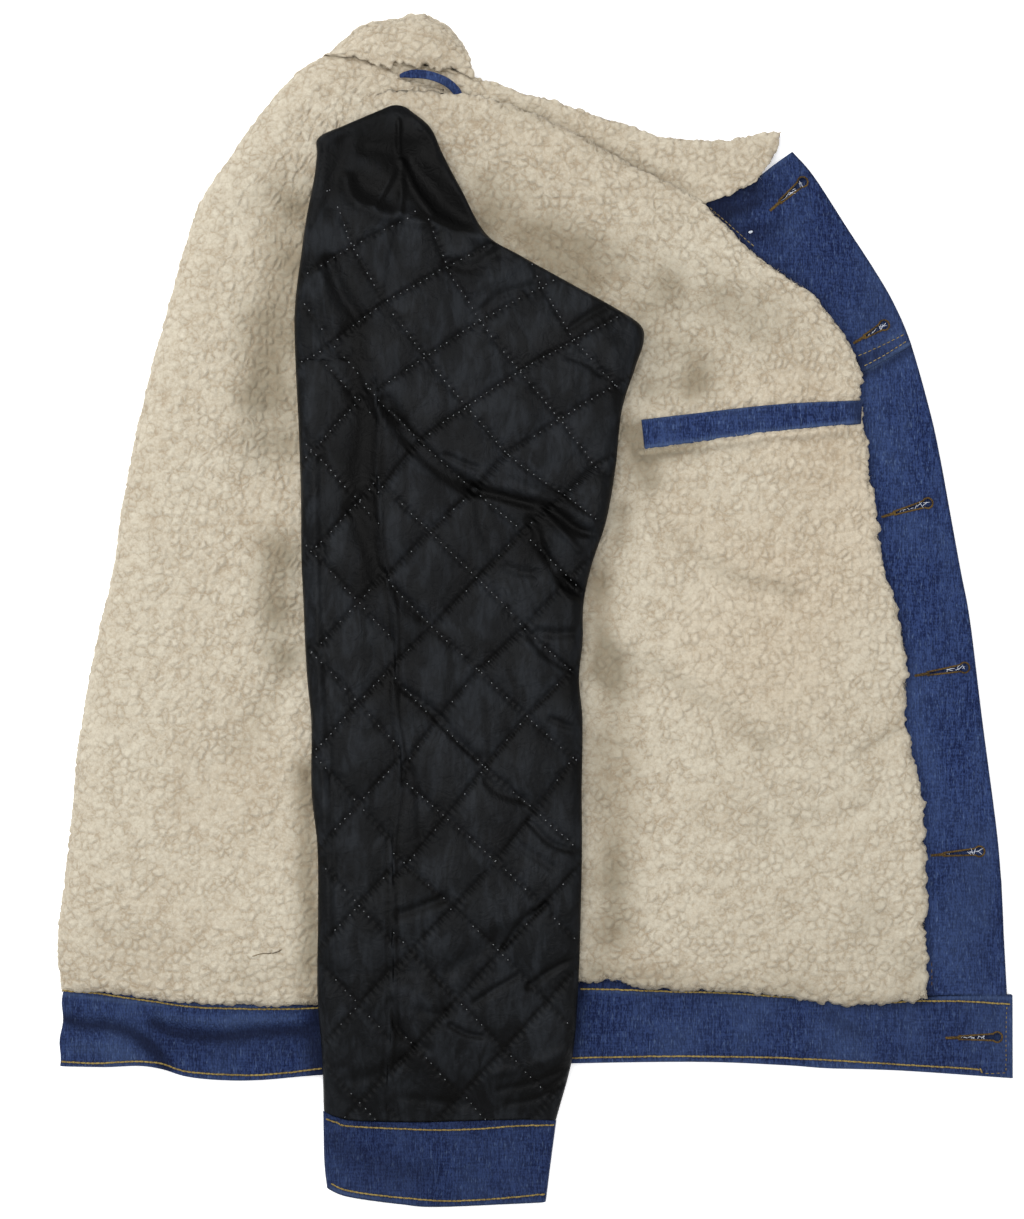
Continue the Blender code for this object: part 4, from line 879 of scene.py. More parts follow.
def makeCollarNear():
    start = smoothLine([outline["neck"][0], outline["collarEdge"][0]])
    neck = outline["neck"][:-4] + [(98, 243.6), (111, 246.6), (123, 251.4), outline["collarEnd"][0]]
    plan = patch(edgeOf(outline["collarEdge"]), edgeOf(neck), edgeOf(start),
                 edgeOf(outline["collarEnd"]))

    def inset(u, v):
        return plan(0.004 + 0.99 * u, 0.03 + 0.95 * v)

    def place(u, v, side):
        spot = inset(u, v)
        toEdge = np.minimum(np.linalg.norm(plan(u, np.ones_like(v)) - spot, axis=1),
                            np.linalg.norm(plan(np.ones_like(u), v) - spot, axis=1))
        toNeck = np.linalg.norm(plan(u, np.zeros_like(v)) - spot, axis=1)
        thick = pileThickness(np.minimum(toEdge, toNeck), lie["rimReach"])
        spot = fluffOut(inset, u, v, side, {"right": 0.8, "top": 1.0, "bottom": 2.2, "left": 1.5})
        over = collarLook["lap"] * np.exp(-(toNeck / 9) ** 2) * ease((u - 0.72) / 0.12) * side
        return withHeight(spot, collarHeight(u) + cloth["layGap"] + thick * side + over)

    thing, _, upper = clothWall("collar_near_sherpa", 50, 8, 5, place, sherpaCloth)
    raisePile(thing, upper, 21)
    return thing


def makeCollarFar():
    start = smoothLine([outline["crease"][0], outline["farCollarEdge"][0]])
    plan = patch(edgeOf(outline["farCollarEdge"]), edgeOf(outline["crease"]), edgeOf(start),
                 edgeOf(outline["farCollarEnd"]))

    def place(u, v, side):
        spot = plan(u, v)
        arch = np.maximum(0, np.sin(np.pi * (0.28 + 0.72 * v))) ** 0.7
        spread = 0.55 + 0.45 * np.sin(np.pi * (0.12 + 0.72 * u))
        spot = fluffOut(plan, u, v, side, {"right": 1.2, "top": 0.8, "bottom": 3.9, "left": 1.0})
        corner = np.exp(-(u / 0.3) ** 2) * (1 - v) * side
        spot = spot + np.column_stack([-1.0 * corner, -1.4 * corner])
        return withHeight(spot, (collarLook["farLow"] + collarLook["farArch"] * arch * spread) * side)

    thing, _, upper = clothWall("collar_far_sherpa", 14, 7, 6, place, sherpaCloth)
    raisePile(thing, upper, 31)
    return thing


linings = {"lining_back": makeLiningBack(), "lining_front": makeLiningFront(),
           "collar_near": makeCollarNear(), "collar_far": makeCollarFar()}
print("sherpa ready")

# denim

bandLook = {"near": 0.56, "turn": 0.62}  # shares of the columns up to the turn and past it
stitchRows = [  # rows of topstitching: piece, line, stitch length, gap, thickness
    {"on": "waistband", "stitch": 3.6, "gap": -0.7, "thick": 1.3,
     "line": [(27, -226.8), (55, -227.4), (85, -228.5), (111, -229.1), (141, -231), (180, -233.8),
              (213.3, -234.8), (227.3, -234), (259.3, -234.4), (284.5, -236)]},
    {"on": "waistband", "stitch": 3.6, "gap": -0.7, "thick": 1.3,
     "line": [(-283, -227.8), (-264, -229.3), (-250, -231.3), (-230.7, -234.1), (-209, -237.3),
              (-181.5, -238.7), (-154.5, -239), (-129, -238.1)]},
    {"on": "waistband", "stitch": 3.6, "gap": -0.7, "thick": 1.25,
     "line": [(-284, -270.4), (-263.4, -271.4), (-238.9, -270.2), (-225.3, -271.6), (-211.6, -275.8),
              (-192.5, -277.8), (-168, -278.4), (-147.5, -276.8), (-128, -274.5)]},
    {"on": "waistband", "stitch": 3.6, "gap": -0.7, "thick": 1.25,
     "line": [(20, -268.4), (60, -267.4), (99, -267.2), (159, -268.6), (219, -272.2), (262, -274.8),
              (268, -276.8)]},
    {"on": "waistband", "line": [(269, -277.6), (276, -277.4), (282.4, -277.2)], "stitch": 2.2, "gap": 0.5,
     "thick": 0.5},
    {"on": "waistband", "line": [(282.6, -237), (282.2, -250), (282.2, -276.4)], "stitch": 1.7, "gap": 1.0,
     "thick": 0.5},
    {"on": "facing_yoke", "line": [(192.6, 152.0), (207, 158.4), (221.2, 165.6)], "stitch": 2.4, "gap": 0.6,
     "thick": 0.65},
    {"on": "facing_yoke", "line": [(196.2, 146), (209.2, 153), (222.4, 161.4)], "stitch": 2.4, "gap": 0.4,
     "thick": 0.7},
    {"on": "facing_yoke", "line": [(103.7, 240.8), (111.2, 234.3), (119.2, 227.3), (130.7, 217.2)],
     "stitch": 2.4, "gap": 0.4, "thick": 0.6},
    {"on": "facing_front", "line": [(237, -210), (237.5, -225.4)], "stitch": 2.6, "gap": 1.2, "thick": 0.5},
]
buttonholes = [  # outer end of the bar tack and outer end of the eye
    {"on": "facing_yoke", "tail": (140.1, 238.8), "eye": (162.9, 259.2)},
    {"on": "facing_yoke", "tail": (189.9, 159.6), "eye": (212.1, 172.8)},
    {"on": "facing_front", "tail": (206.7, 55.8), "eye": (238.5, 65.4)},
    {"on": "facing_front", "tail": (226.5, -39), "eye": (260.7, -33.6)},
    {"on": "facing_front", "tail": (236.1, -146.4), "eye": (269.7, -144)},
    {"on": "waistband", "tail": (245.7, -256.2), "eye": (280.5, -255.6)},
]
holeLook = {"tack": 8.0, "start": 1.0, "neck": 2.0, "eye": 3.1, "stitchEvery": 0.5, "cord": 1.25}


denimFolds = [  # soft puckers and hollows in the denim
    ([(118, 247), (127, 238), (132, 227)], 3.0, -0.9),
    ([(124, 250), (134, 241), (140, 231)], 3.0, 0.7),
    ([(140, 262), (148, 250)], 2.6, -0.6),
    ([(133, 224), (146, 226), (158, 222)], 4.5, -0.6),
    ([(150, 215), (170, 205)], 6.0, 0.6),
    ([(200, 170), (212, 182)], 5.0, -0.5),
    ([(206, 90), (218, 96)], 6.0, -0.5),
    ([(215, 20), (240, 26)], 8.0, 0.5),
    ([(232, -70), (262, -84)], 7.0, -0.5),
    ([(240, -190), (268, -196)], 6.0, 0.5),
    ([(172, -240), (195, -253)], 4.0, -0.7),
    ([(60, -246), (100, -252), (140, -248)], 6.0, -0.5),
    ([(-283, -243.5), (-271, -247.6), (-258, -247.9), (-244.7, -251.3), (-233.6, -257.9),
      (-225.7, -266.9), (-220, -275)], 4.2, -2.2),
    ([(-229, -246.8), (-218, -251.3), (-204.5, -253.5), (-186.7, -254.6), (-168.9, -252.4),
      (-146.6, -251.3), (-128.7, -250.1)], 4.2, -2.3),
    ([(-228, -241), (-200, -245), (-160, -243)], 5.0, 1.0),
    ([(-276, -257), (-250, -259), (-240, -265)], 6.0, 0.9),
    ([(-70, -318), (-48, -330)], 5.0, -0.7),
    ([(-100, -330), (-84, -342)], 5.0, -0.6),
    ([(-30, -334), (0, -326)], 5.0, 0.6),
]
denimShades = [  # where the denim lies darker: below the pile, the collar and the sleeve
    (outline["front"], 1.3, 0.48),
    ([(108, 238), (124, 228), (140, 222)], 7.0, 0.4),
    (outline["lapel"], 4.5, 0.66),
    (outline["hemFront"], 4.4, 0.74),
    (outline["hemBack"][1:], 3.0, 0.54),
    (outline["facingTop"][:4], 5.0, 0.55),
    ([(-126, -232), (-125, -284)], 4.5, 0.7),
    ([(27, -226), (20, -275)], 4.5, 0.7),
    ([(112, 236), (124, 240), (140, 250)], 6.0, 0.45),
    ([(128, 226), (146, 232)], 5.0, 0.3),
    ([(112, 240), (122, 239.5), (132, 243)], 3.2, 0.45),
    ([(-126, -300.6), (-107, -306.4), (-62, -307.2), (12.6, -305.8)], 0.9, 0.6),
    ([(176, -243), (194, -254)], 4.0, 0.4),
    ([(-283, -244.5), (-271, -248.6), (-258, -249), (-244.7, -252.4), (-233.6, -259), (-225.7, -267.5),
      (-221, -275)], 4.0, 0.98),
    ([(-229, -247.8), (-218, -252.3), (-204.5, -254.5), (-186.7, -255.6), (-168.9, -253.4),
      (-146.6, -252.3), (-128.7, -251.1)], 3.8, 1.0),
    ([(-131.5, -236), (-131.5, -281)], 6.5, 0.9),
    ([(196, 140.8), (210, 147.6), (225.5, 156.8)], 2.6, 0.6),
    ([(194, 149), (206, 155)], 4.0, 0.5),
    ([(103, 243.5), (118, 246.5), (131, 251)], 4.5, 0.5),
    ([(262, -150), (268, -215)], 22, 0.22),
    ([(-232, -262), (-200, -262), (-140, -260)], 9.0, 0.3),
    ([(-120, -318), (-98, -331), (-66, -338)], 9.0, 0.45),
]
pieceShade = {"sleeve_cuff": 0.44, "facing_yoke": 0.19, "waistband": 0.28, "hang_loop": 0.15,
              "facing_front": 0.04, "pocket_welt": 0.10}
denimWearAndHighlights = [  # where folded edges have worn pale, and painted highlights on the waistband's ridges
    # painted highlights on the two ridges of the waistband
    ([(-276, -262), (-250, -264), (-240, -269)], 5, 0.2),
    ([(-226, -243), (-190, -246.5), (-145, -244)], 4, 0.25),
    # wear on folded edges and seams
    ([(196, 142.5), (210, 150.5), (224, 159.6)], 1.0, 1.0),
    ([(194, 152), (208, 159.5), (222, 167.5)], 0.8, 0.4),
    ([(153, 274), (133, 258.6)], 1.2, 0.6),
    ([(286, -232), (285.5, -280)], 1.2, 0.4),
    (outline["bandBottom"], 1.2, 0.4),
    ([(26, -227), (69, -229.4), (123, -228), (189, -235), (250, -232), (286, -232)], 1.1, 0.5),
    ([(-285, -229.4), (-231, -235.5), (-129, -238.4)], 1.1, 0.5),
    ([(-122.7, -346.2), (-110.7, -350.4), (-80.7, -355.6), (-56.7, -358), (6.3, -354.6)], 1.2, 0.7),
    ([(63, 113.6), (92.7, 117.2), (144.3, 122.8), (195, 125.4)], 1.0, 0.5),
    ([(65, 97.2), (99.9, 101.6), (129.3, 105.6), (157.5, 108.8), (194, 112.4)], 1.4, 0.6),
]


def shadeAndWearDenim(thing, name):  # numbers for the denim's painted shade, and for its edge wear and painted highlights
    spots = readPoints(thing.data)[:, :2] / mm
    shade = pieceShade.get(name, 0.0)
    keepNumber(thing.data, "shade", np.clip(shade + foldHeight(denimShades, spots) * (1 - shade), 0, 1))
    keepNumber(thing.data, "wearAndHighlight", np.clip(foldHeight(denimWearAndHighlights, spots), 0, 1))


def rowLine(row):
    return smoothLine(row["line"])


def denimRelief(name, spots):  # grooves and puckers along the stitching
    lift = 0.35 * flatNoise(spots, 34, 9)
    lift += foldHeight(denimFolds, spots)
    if name == "facing_yoke":  # the lap of the yoke seam is three layers thick
        lift += 0.8 * ease((12.5 - awayFrom(np.array(yokeLine), spots)[0]) / 2.0)
    for row in stitchRows:
        if row["on"] == name:
            away, place = awayFrom(rowLine(row), spots)
            lift -= 0.4 * np.exp(-(away / 1.1) ** 2)
            waves = np.sin(2 * np.pi * place / 8.3 + 2 * np.sin(place / 17))
            lift += 0.16 * waves * np.exp(-(away / 5) ** 2)
    return lift


def makeFacing(name, start, end, top, bottom, along):
    inner = edgeOf(lapelLine, end, start)
    topPoints, bottomPoints = smoothLine(top), smoothLine(bottom)
    outer = np.array([topPoints[-1]] + [p for p in frontLine if bottomPoints[-1][1] + 1 < p[1]
                                        < topPoints[-1][1] - 1] + [bottomPoints[-1]])
    plan = patch(edgeOf(topPoints), edgeOf(bottomPoints), inner, edgeOf(outer, 1, 0))

    def place(u, v, side):
        width = np.linalg.norm(plan(np.ones_like(u), v) - plan(np.zeros_like(u), v), axis=1)
        gap = cloth["seamGap"] / width
        spot = plan(gap + u * (1 - gap), 0.001 + 0.998 * v)
        if name == "facing_yoke":  # its folded edge laps over the lower length
            run = np.array(yokeLine[0]) - yokeLine[1]
            down = np.array([-run[1], run[0]]) / np.linalg.norm(run)
            spot = spot + down * (0.9 * np.exp(-v * 30) * side)[:, None]
        height = baseHeight(spot) + cloth["layGap"]
        relief = denimRelief(name, spot) + 0.5 * np.exp(-((1 - u) * width / 2.2) ** 2) * (u < 1)
        relief = relief * np.minimum(1, 6 * (1 - u) + 0.1)
        return withHeight(spot, height + (cloth["facing"] + relief) * side)

    return clothWall(name + "_denim", 12, along, 3, place, denimCloth)


def makeWaistband():
    top, bottom = smoothLine(outline["bandTop"]), smoothLine(outline["bandBottom"])
    middle, length = (cloth["band"] + cloth["bandLegGap"]) / 2, reachOf(bandTopLine)[-1]

    def place(u, v, side):
        lift = (side - 0.5) * cloth["band"]
        start = cloth["bandTurn"] / length
        nearEnd, farStart = bandLook["near"], bandLook["turn"]
        angle = np.radians(180 * np.clip((u - nearEnd) / (farStart - nearEnd), 0, 1))
        radius = middle + lift
        near, far = u <= nearEnd, u >= farStart
        share = (cloth["bandTurn"] - radius * np.sin(angle)) / length
        share = np.where(near, start + (1 - start) * (1 - u / nearEnd), share)
        share = np.where(far, start + (1 - start) * (u - farStart) / (1 - farStart), share)
        height = cloth["band"] + cloth["bandLegGap"] / 2 + radius * np.cos(angle)
        spot = onLine(bottom, share) * (1 - v[:, None]) + onLine(top, share) * v[:, None]
        edge = np.minimum(1, 8 * np.minimum(v, 1 - v) + 0.1)
        relief = (denimRelief("waistband", spot) + trough(spot)) * near * edge
        end = np.exp(-(share * length / 14) ** 2)  # the turn at the centre back is crooked
        spot = spot + np.column_stack([-0.7 * np.cos(12 * (v - 0.85)) * end, 0 * end])
        return withHeight(spot, height + relief * side)

    def trough(spot):  # a soft crosswise hollow left of the sleeve
        return -0.8 * np.exp(-((spot[:, 1] + 252) / 9) ** 2) * np.exp(-((spot[:, 0] + 215) / 50) ** 2)

    return clothWall("waistband_denim", 150, 10, 3, place, denimCloth)


weltLook = {"top": [(63, 113.6), (92.7, 117.2), (144.3, 122.8), (195, 125.4)],
            "bottom": [(65, 95.4), (99.9, 99.8), (129.3, 104.4), (157.5, 107.6), (194, 111.2)]}


def makeWelt():
    top, bottom = smoothLine(weltLook["top"]), smoothLine(weltLook["bottom"])

    def place(u, v, side):
        spot = onLine(bottom, u) * (1 - v[:, None]) + onLine(top, u) * v[:, None]
        rounded = quarterRound(np.minimum(np.minimum(v, 1 - v) * 15, np.minimum(u, 1 - u) * 126) / 2.0)
        height = rollHeight(spot) + cloth["pile"] + cloth["layGap"]
        return withHeight(spot, height + cloth["welt"] * side * (0.35 + 0.65 * rounded))

    return clothWall("pocket_welt_denim", 48, 8, 3, place, denimCloth)


def makeHangLoop():
    line = smoothLine([(-80, 318.8, 16.6), (-77, 319.2, 19.5), (-71, 319.2, 22.2), (-63, 318.2, 23.2),
                       (-54, 314.9, 22.6), (-48.2, 310.6, 20.4), (-45.6, 306.6, 16.9)])

    def place(u, v, side):
        run = onLine(line, u + 0.02) - onLine(line, u - 0.02)
        across = unit(np.column_stack([-run[:, 1], run[:, 0], np.zeros(len(u))]))
        out = unit(np.cross(run, across))
        out *= np.where(out[:, 2:3] > 0, 1, -1)
        wide = cloth["tapeWidth"] * np.minimum(1, 0.4 + 3 * u[:, None])
        return (onLine(line, u) + across * wide * (v[:, None] - 0.5)
                + out * cloth["tape"] * side[:, None])

    return clothWall("hang_loop_denim", 30, 4, 2, place, denimCloth)


def holeFrame(hole):
    tail, eye = np.array(hole["tail"], float), np.array(hole["eye"], float)
    run = eye - tail
    length = np.linalg.norm(run)
    return tail, run / length, np.array([-run[1], run[0]]) / length, length


def holeOutline(hole, inset=0.0):  # a slit with a round eye at its end, from its narrow end and back
    tail, along, across, length = holeFrame(hole)
    tack, start, neck, eye = (holeLook[name] - inset for name in ("tack", "start", "neck", "eye"))
    centre = length - holeLook["eye"] - holeLook["cord"] / 2
    turn = np.pi - np.arcsin(neck / eye)
    angles = np.linspace(turn, -turn, 19)[1:-1]
    straight = np.linspace(0, 1, 12)
    upper = np.column_stack([tack + (centre + eye * np.cos(turn) - tack) * straight,
                             start + (neck - start) * straight ** 1.2])
    tip = np.column_stack([centre + eye * np.cos(angles), eye * np.sin(angles)])
    local = np.vstack([upper, tip, upper[::-1] * (1, -1)])
    return tail + local[:, :1] * along + local[:, 1:] * across


def cutHoles(thing, name):
    for hole in [h for h in buttonholes if h["on"] == name]:
        bm = bmesh.new()
        low = cloth["band"] + cloth["bandLegGap"] / 2 if name == "waistband" else -20
        face = bm.faces.new([bm.verts.new((x * mm, y * mm, low * mm))
                             for x, y in holeOutline(hole, holeLook["cord"] / 2)])
        thicken(bm, [face], (40 - low) * mm)
        bmesh.ops.recalc_face_normals(bm, faces=bm.faces)
        cutter = bpy.data.objects.new("cutter", toMesh(bm, "cutter"))
        bpy.context.scene.collection.objects.link(cutter)
        cut = thing.modifiers.new("hole", "BOOLEAN")
        cut.operation, cut.object = "DIFFERENCE", cutter
        bpy.context.view_layer.update()
        done = bpy.data.meshes.new_from_object(thing.evaluated_get(bpy.context.evaluated_depsgraph_get()))
        thing.modifiers.clear()
        thing.data = done
        bpy.data.objects.remove(cutter)


denims = {}
denims["facing_yoke"] = makeFacing("facing_yoke", 0, yokeShare, outline["facingTop"], yokeLine, 30)[0]
denims["facing_front"] = makeFacing("facing_front", yokeShare, 1, yokeLine,
                                    [(233.4, -232.6), (250, -231.6), (282.8, -231.4)], 90)[0]
denims["waistband"] = makeWaistband()[0]
denims["pocket_welt"] = makeWelt()[0]
denims["hang_loop"] = makeHangLoop()[0]
for name in ("facing_yoke", "facing_front", "waistband"):
    cutHoles(denims[name], name)
print("denim ready")

# quilted sleeve

sleeveRows = [  # left and right folds of each section, how thick it lies, how its middle bows
    ((-90, 298), (-75, 297.6), 7, -2),
    ((-113, 288.2), (-62.6, 287), 10, -3.6),
    ((-128.6, 281), (-55.3, 271.6), 12, -3.2),
    ((-129.8, 271), (-44.5, 251), 13, -3),
    ((-131.5, 256.5), (-28.5, 222.6), 14, -2),
    ((-134.6, 241), (-8, 210.2), 14, -1),
    ((-137.3, 225.5), (22, 193.6), 14, 0),
    ((-139.3, 210), (50, 178.2), 14, 0),
    ((-141, 199), (62.8, 169.2), 14, 0),
    ((-142.5, 186), (64.4, 159.5), 14, 0),
    ((-143.3, 172), (60.2, 146.5), 14, 0),
    ((-142.5, 144), (51.6, 119.5), 14, 0),
    ((-140.6, 106), (47.6, 84), 14, 0),
    ((-139.3, 64), (41.8, 52), 14, 0),
    ((-139, 28), (33.5, 27), 13.5, 0),
    ((-138, 6), (28.6, 4), 13.2, 0),
    ((-137, -18), (28.2, -18), 13, 0),
    ((-135.5, -42), (26, -40), 12.8, 0),
    ((-133.2, -66), (28, -64), 12.5, 0),
    ((-133, -108), (27.6, -108), 12, 0),
    ((-129.6, -140), (27.8, -140), 12, 0),
    ((-129.2, -180), (27, -180), 12, 0),
    ((-129.8, -228), (25.5, -228), 11.5, 0),
    ((-127.4, -266), (22, -268), 11, 0),
    ((-126.8, -300), (12.6, -304.8), 8.4, 0),
]
sleeveLook = {
    "round": 8.0,         # how round its sides are
    "wall": 4.6,          # lining and shell together
    "upper": 0.86,        # share of the columns that go over the top
    "endFit": -262.0,     # from here on its end bends to fit the cuff
    "dropTop": -215.0,    # where it starts to sink from the body to the surface
    "dropEnd": -330.0,    # where it lies on the surface
    "drawn": 1.01,        # the patterns are laid out this much larger
    "plainAbove": 243,    # above this the cap isn't quilted
    "cell": 38.0,         # from one stitch line of a set to the next
    "stitch": 4.0,
    "puff": 1.7,          # how high the quilting puffs up
    "pillow": 5.0,        # how soon it does so, away from a stitch line
    "groove": 1.3,        # half width of the groove along a stitch line
    "gatherEvery": 4.6,   # how far apart the gathers along a stitch line are
    "gatherReach": 6.0,   # how far they run out from it
}
sleeveFolds = [  # creases and ridges of the satin: line, half width, height
    # the cap, gathered into a pleat beside the hollow of the armhole
    (((-128, 281), (-114, 287), (-96, 296), (-81, 298), (-66, 292), (-58, 278)), 4.5, 1.2),
    (((-113, 258), (-108, 245), (-93, 238), (-81, 235), (-54, 230), (-36, 224), (-27, 220)), 4.6, 2.4),
    (((-76, 267), (-63, 252), (-46, 234)), 9.5, -6.0),
    (((-106, 257), (-98, 252), (-88, 248)), 8.0, -2.4),
    (((-101, 278), (-84, 277), (-66, 278)), 7.0, -2.4),
    (((-51, 265), (-40, 244), (-29, 224)), 3.0, 2.0),
    (((-82, 293), (-82, 284), (-82, 275)), 1.6, 1.4),
    (((-81, 270), (-89, 255), (-96, 242)), 2.2, 1.3),
    (((-80, 269), (-80, 252), (-81, 238)), 2.0, 1.5),
    (((-79, 268), (-72, 252), (-62, 238)), 2.2, 1.6),
    (((-128, 276), (-130, 258), (-136, 231)), 3.5, 1.2),
    (((-114, 282), (-118, 264), (-123, 243)), 5.0, -1.2),
    # the upper arm
    (((-81, 232), (-85, 216), (-89, 192)), 2.2, -1.0),
    (((-52, 208), (-39, 205), (-23, 214)), 4.0, -1.9),
    (((-39, 192), (-21, 201), (-9, 209)), 4.5, 1.2),
    (((-32, 180), (-20, 189), (-2, 194)), 3.0, -1.4),
    (((22, 170), (31, 176), (42, 182)), 2.6, -1.6),
    (((19, 152), (30, 148), (39, 141)), 2.0, -1.2),
    (((45, 159), (46, 141), (43, 126)), 5.0, 1.0),
    # the strip left of the lengthwise seam
    (((-124, 209), (-116, 189), (-105, 174)), 4.5, -2.4),
    (((-130, 201), (-122, 177), (-110, 161)), 4.0, 1.0),
    (((-110, 165), (-107, 138), (-102, 114), (-105, 84), (-102, 66)), 7.5, -2.6),
    (((-111, 156), (-96, 126), (-90, 111)), 2.5, 1.0),
    (((-110, 59), (-100, 39), (-95, 21)), 6.0, -2.0),
    (((-98, 6), (-95, -18), (-98, -48)), 7.0, -1.0),
    (((-133, 96), (-131, 6), (-128, -90), (-123, -210)), 1.8, 0.7),
    (((-128, 108), (-127, 6), (-123, -90), (-118, -204)), 1.6, -0.6),
    # the long fold across the elbow and the gathers at its end
    (((-88, 125), (-76, 103), (-57, 84), (-38, 73)), 5.0, -2.4),
    (((-38, 73), (-12, 66), (9, 60), (24, 49), (39, 45)), 3.2, -2.8),
    (((-18, 77), (6, 68), (33, 55)), 5.0, 1.4),
    (((-54, 93), (-45, 89), (-34, 85)), 1.8, -1.2),
    (((-34, 63), (-33, 51), (-29, 42)), 3.0, -1.0),
    (((1, 63), (10, 53), (26, 36)), 2.0, 1.4),
    (((-3, 54), (6, 35), (19, 16), (33, 5)), 3.0, -2.2),
    (((6, 42), (13, 26), (24, 18)), 2.4, 1.6),
    (((18, 17), (26, 11), (34, 6)), 4.0, -2.6),
    (((-17, 26), (-9, 23), (0, 22)), 3.2, -1.3),
    # small ones down the forearm
    (((2, -13), (13, -14), (25, -13)), 3.4, -1.7),
    (((-6, -12), (6, -26), (26, -40)), 2.4, -1.4),
    (((9, -65), (19, -69), (30, -71)), 2.2, -1.3),
    (((-85, 11), (-76, 2), (-65, -7)), 4.5, -1.4),
    (((-80, -47), (-69, -53), (-59, -64)), 2.2, -1.0),
    (((-63, -57), (-48, -75), (-34, -89)), 2.6, -1.1),
    (((-29, -102), (-21, -109), (-8, -113)), 3.4, -1.7),
    (((-75, -96), (-70, -114), (-69, -135)), 2.6, -0.9),
    (((-3, -127), (9, -139), (26, -145)), 2.4, -1.6),
    (((-10, -141), (1, -148), (10, -154)), 2.8, -1.1),
    (((-82, -182), (-70, -178), (-57, -173)), 3.4, -2.0),
    (((-50, -214), (-34, -205), (-20, -194)), 5.5, -1.6),
    (((-19, -202), (-8, -186), (6, -176)), 2.4, -1.6),
    # towards the cuff
    (((-36, -235), (-24, -227), (-12, -220)), 2.4, -1.7),
    (((-4, -226), (10, -215), (26, -207)), 2.4, -1.9),
    (((-70, -240), (-60, -242), (-51, -241)), 3.0, -1.3),
    (((-51, -249), (-42, -254), (-32, -256)), 2.0, -1.8),
    (((-86, -235), (-80, -256), (-65, -264)), 3.0, -1.5),
    (((-113, -283), (-98, -280), (-80, -270)), 4.0, -1.6),
    (((-124, -284), (-116, -296)), 3.0, -1.4),
    (((-16, -298), (3, -294), (16, -286)), 2.2, -1.4),
    (((-21, -289), (0, -284), (19, -275)), 2.4, -1.2),
    (((-27, -279), (-3, -274), (19, -264)), 3.2, 1.0),
    (((-81, -294), (-63, -296), (-39, -299)), 3.0, -1.2),
]
quiltRows = [  # crossings of the stitch lines: row, x and y of column 0, one column's step in x and y
    (-10, -10, 228, 28, -6), (-9, -24.9, 199.8, 28.2, -6), (-8, -33.3, 172.8, 28.4, -5.7),
    (-7, -37.2, 147.6, 28.2, -4.2), (-6, -41.7, 121.8, 28.2, -3.6), (-5, -43.2, 97.5, 26, -3.8),
    (-4, -36.3, 72, 27, -1.5), (-3, -35.7, 47.4, 27.6, 0), (-2, -34.5, 19.2, 27.6, 0),
    (-1, -34.5, -10.2, 27.6, 0), (0, -33.9, -36, 27.6, 0), (2, -30.3, -93.6, 26.4, 2.7),
    (4, -23.7, -150, 27, 1.2), (6, -21.3, -204.6, 26.7, -0.6), (8, -18.9, -264, 27, -0.9),
    (10, -16, -322, 27, -0.9),
]
satinShades = [  # broad dark places
    ([(-120, 262), (-95, 276), (-66, 276)], 26, 0.5),
    ([(-74, 268), (-62, 252), (-46, 236)], 13, 0.9),
    ([(-108, 250), (-88, 258), (-70, 262)], 12, 0.4),
    ([(-118, 285), (-95, 290), (-72, 288)], 14, 0.35),
    ([(-108, 170), (-104, 130), (-102, 90), (-102, 50), (-98, 20)], 9.5, 0.75),
    ([(-38, 73), (-12, 64), (9, 58), (24, 47)], 6, 0.6),
    ([(0, 55), (10, 30), (22, 12)], 9, 0.45),
    ([(-94, -40), (-92, -120), (-94, -230)], 8, 0.35),
    ([(-60, -292), (-20, -290), (10, -284)], 14, 0.4),
    ([(22, 30), (20, -60), (22, -150), (18, -260)], 6, 0.35),
    ([(52, 160), (40, 120), (38, 80)], 7, 0.3),
]
leftQuilt = {"x": -106.0, "y": 5.0, "across": 27.0, "along": 30.2}  # left of the lengthwise seam
seamLine = [(-99, 178), (-94.5, 129), (-95, 102), (-92.7, 36.6), (-88.5, 20.4), (-84.3, -7.2),
            (-84.3, -57.6), (-80.1, -94.2), (-85.5, -138.6), (-85.5, -193.2), (-86.1, -244.8),
            (-89.7, -284.4), (-91, -306)]
cuffTop = [(-127.2, -299.8), (-119.5, -303), (-107.7, -305.6), (-72, -306.5), (-41, -305.7),
           (-2, -304.8), (12.6, -305.6)]
cuffBottom = [(-125, -346.4), (-112, -351.4), (-80.7, -355.8), (-56.7, -357.4), (6.3, -354.6)]
cuffLeft = [(-127.2, -299.8), (-126.7, -330), (-125, -346.4)]
cuffRight = [(12.6, -305.6), (9.4, -330), (6.3, -354.6)]
cuffLine, seamCurve = smoothLine(cuffTop), smoothLine(seamLine)


def smoothRead(knots, values, wanted):  # values at falling knots, read on a smooth curve
    knots, values = np.array(knots, float), np.array(values, float)
    k = np.clip(np.searchsorted(-knots, -wanted, side="right") - 1, 0, len(knots) - 2)
    slopes = np.gradient(values, axis=0) / np.gradient(knots).reshape((-1,) + (1,) * (values.ndim - 1))
    span = knots[k + 1] - knots[k]
    t = np.clip((wanted - knots[k]) / span, 0, 1)
    if values.ndim > 1:
        span, t = span[:, None], t[:, None]
    return (values[k] * (2 * t ** 3 - 3 * t ** 2 + 1) + slopes[k] * span * (t ** 3 - 2 * t ** 2 + t)
            + values[k + 1] * (3 * t ** 2 - 2 * t ** 3) + slopes[k + 1] * span * (t ** 3 - t ** 2))


rowAlong = [(left[1] + right[1]) / 2 for left, right, _, _ in sleeveRows]


def section(along):
    return [smoothRead(rowAlong, values, along) for values in zip(*sleeveRows)]


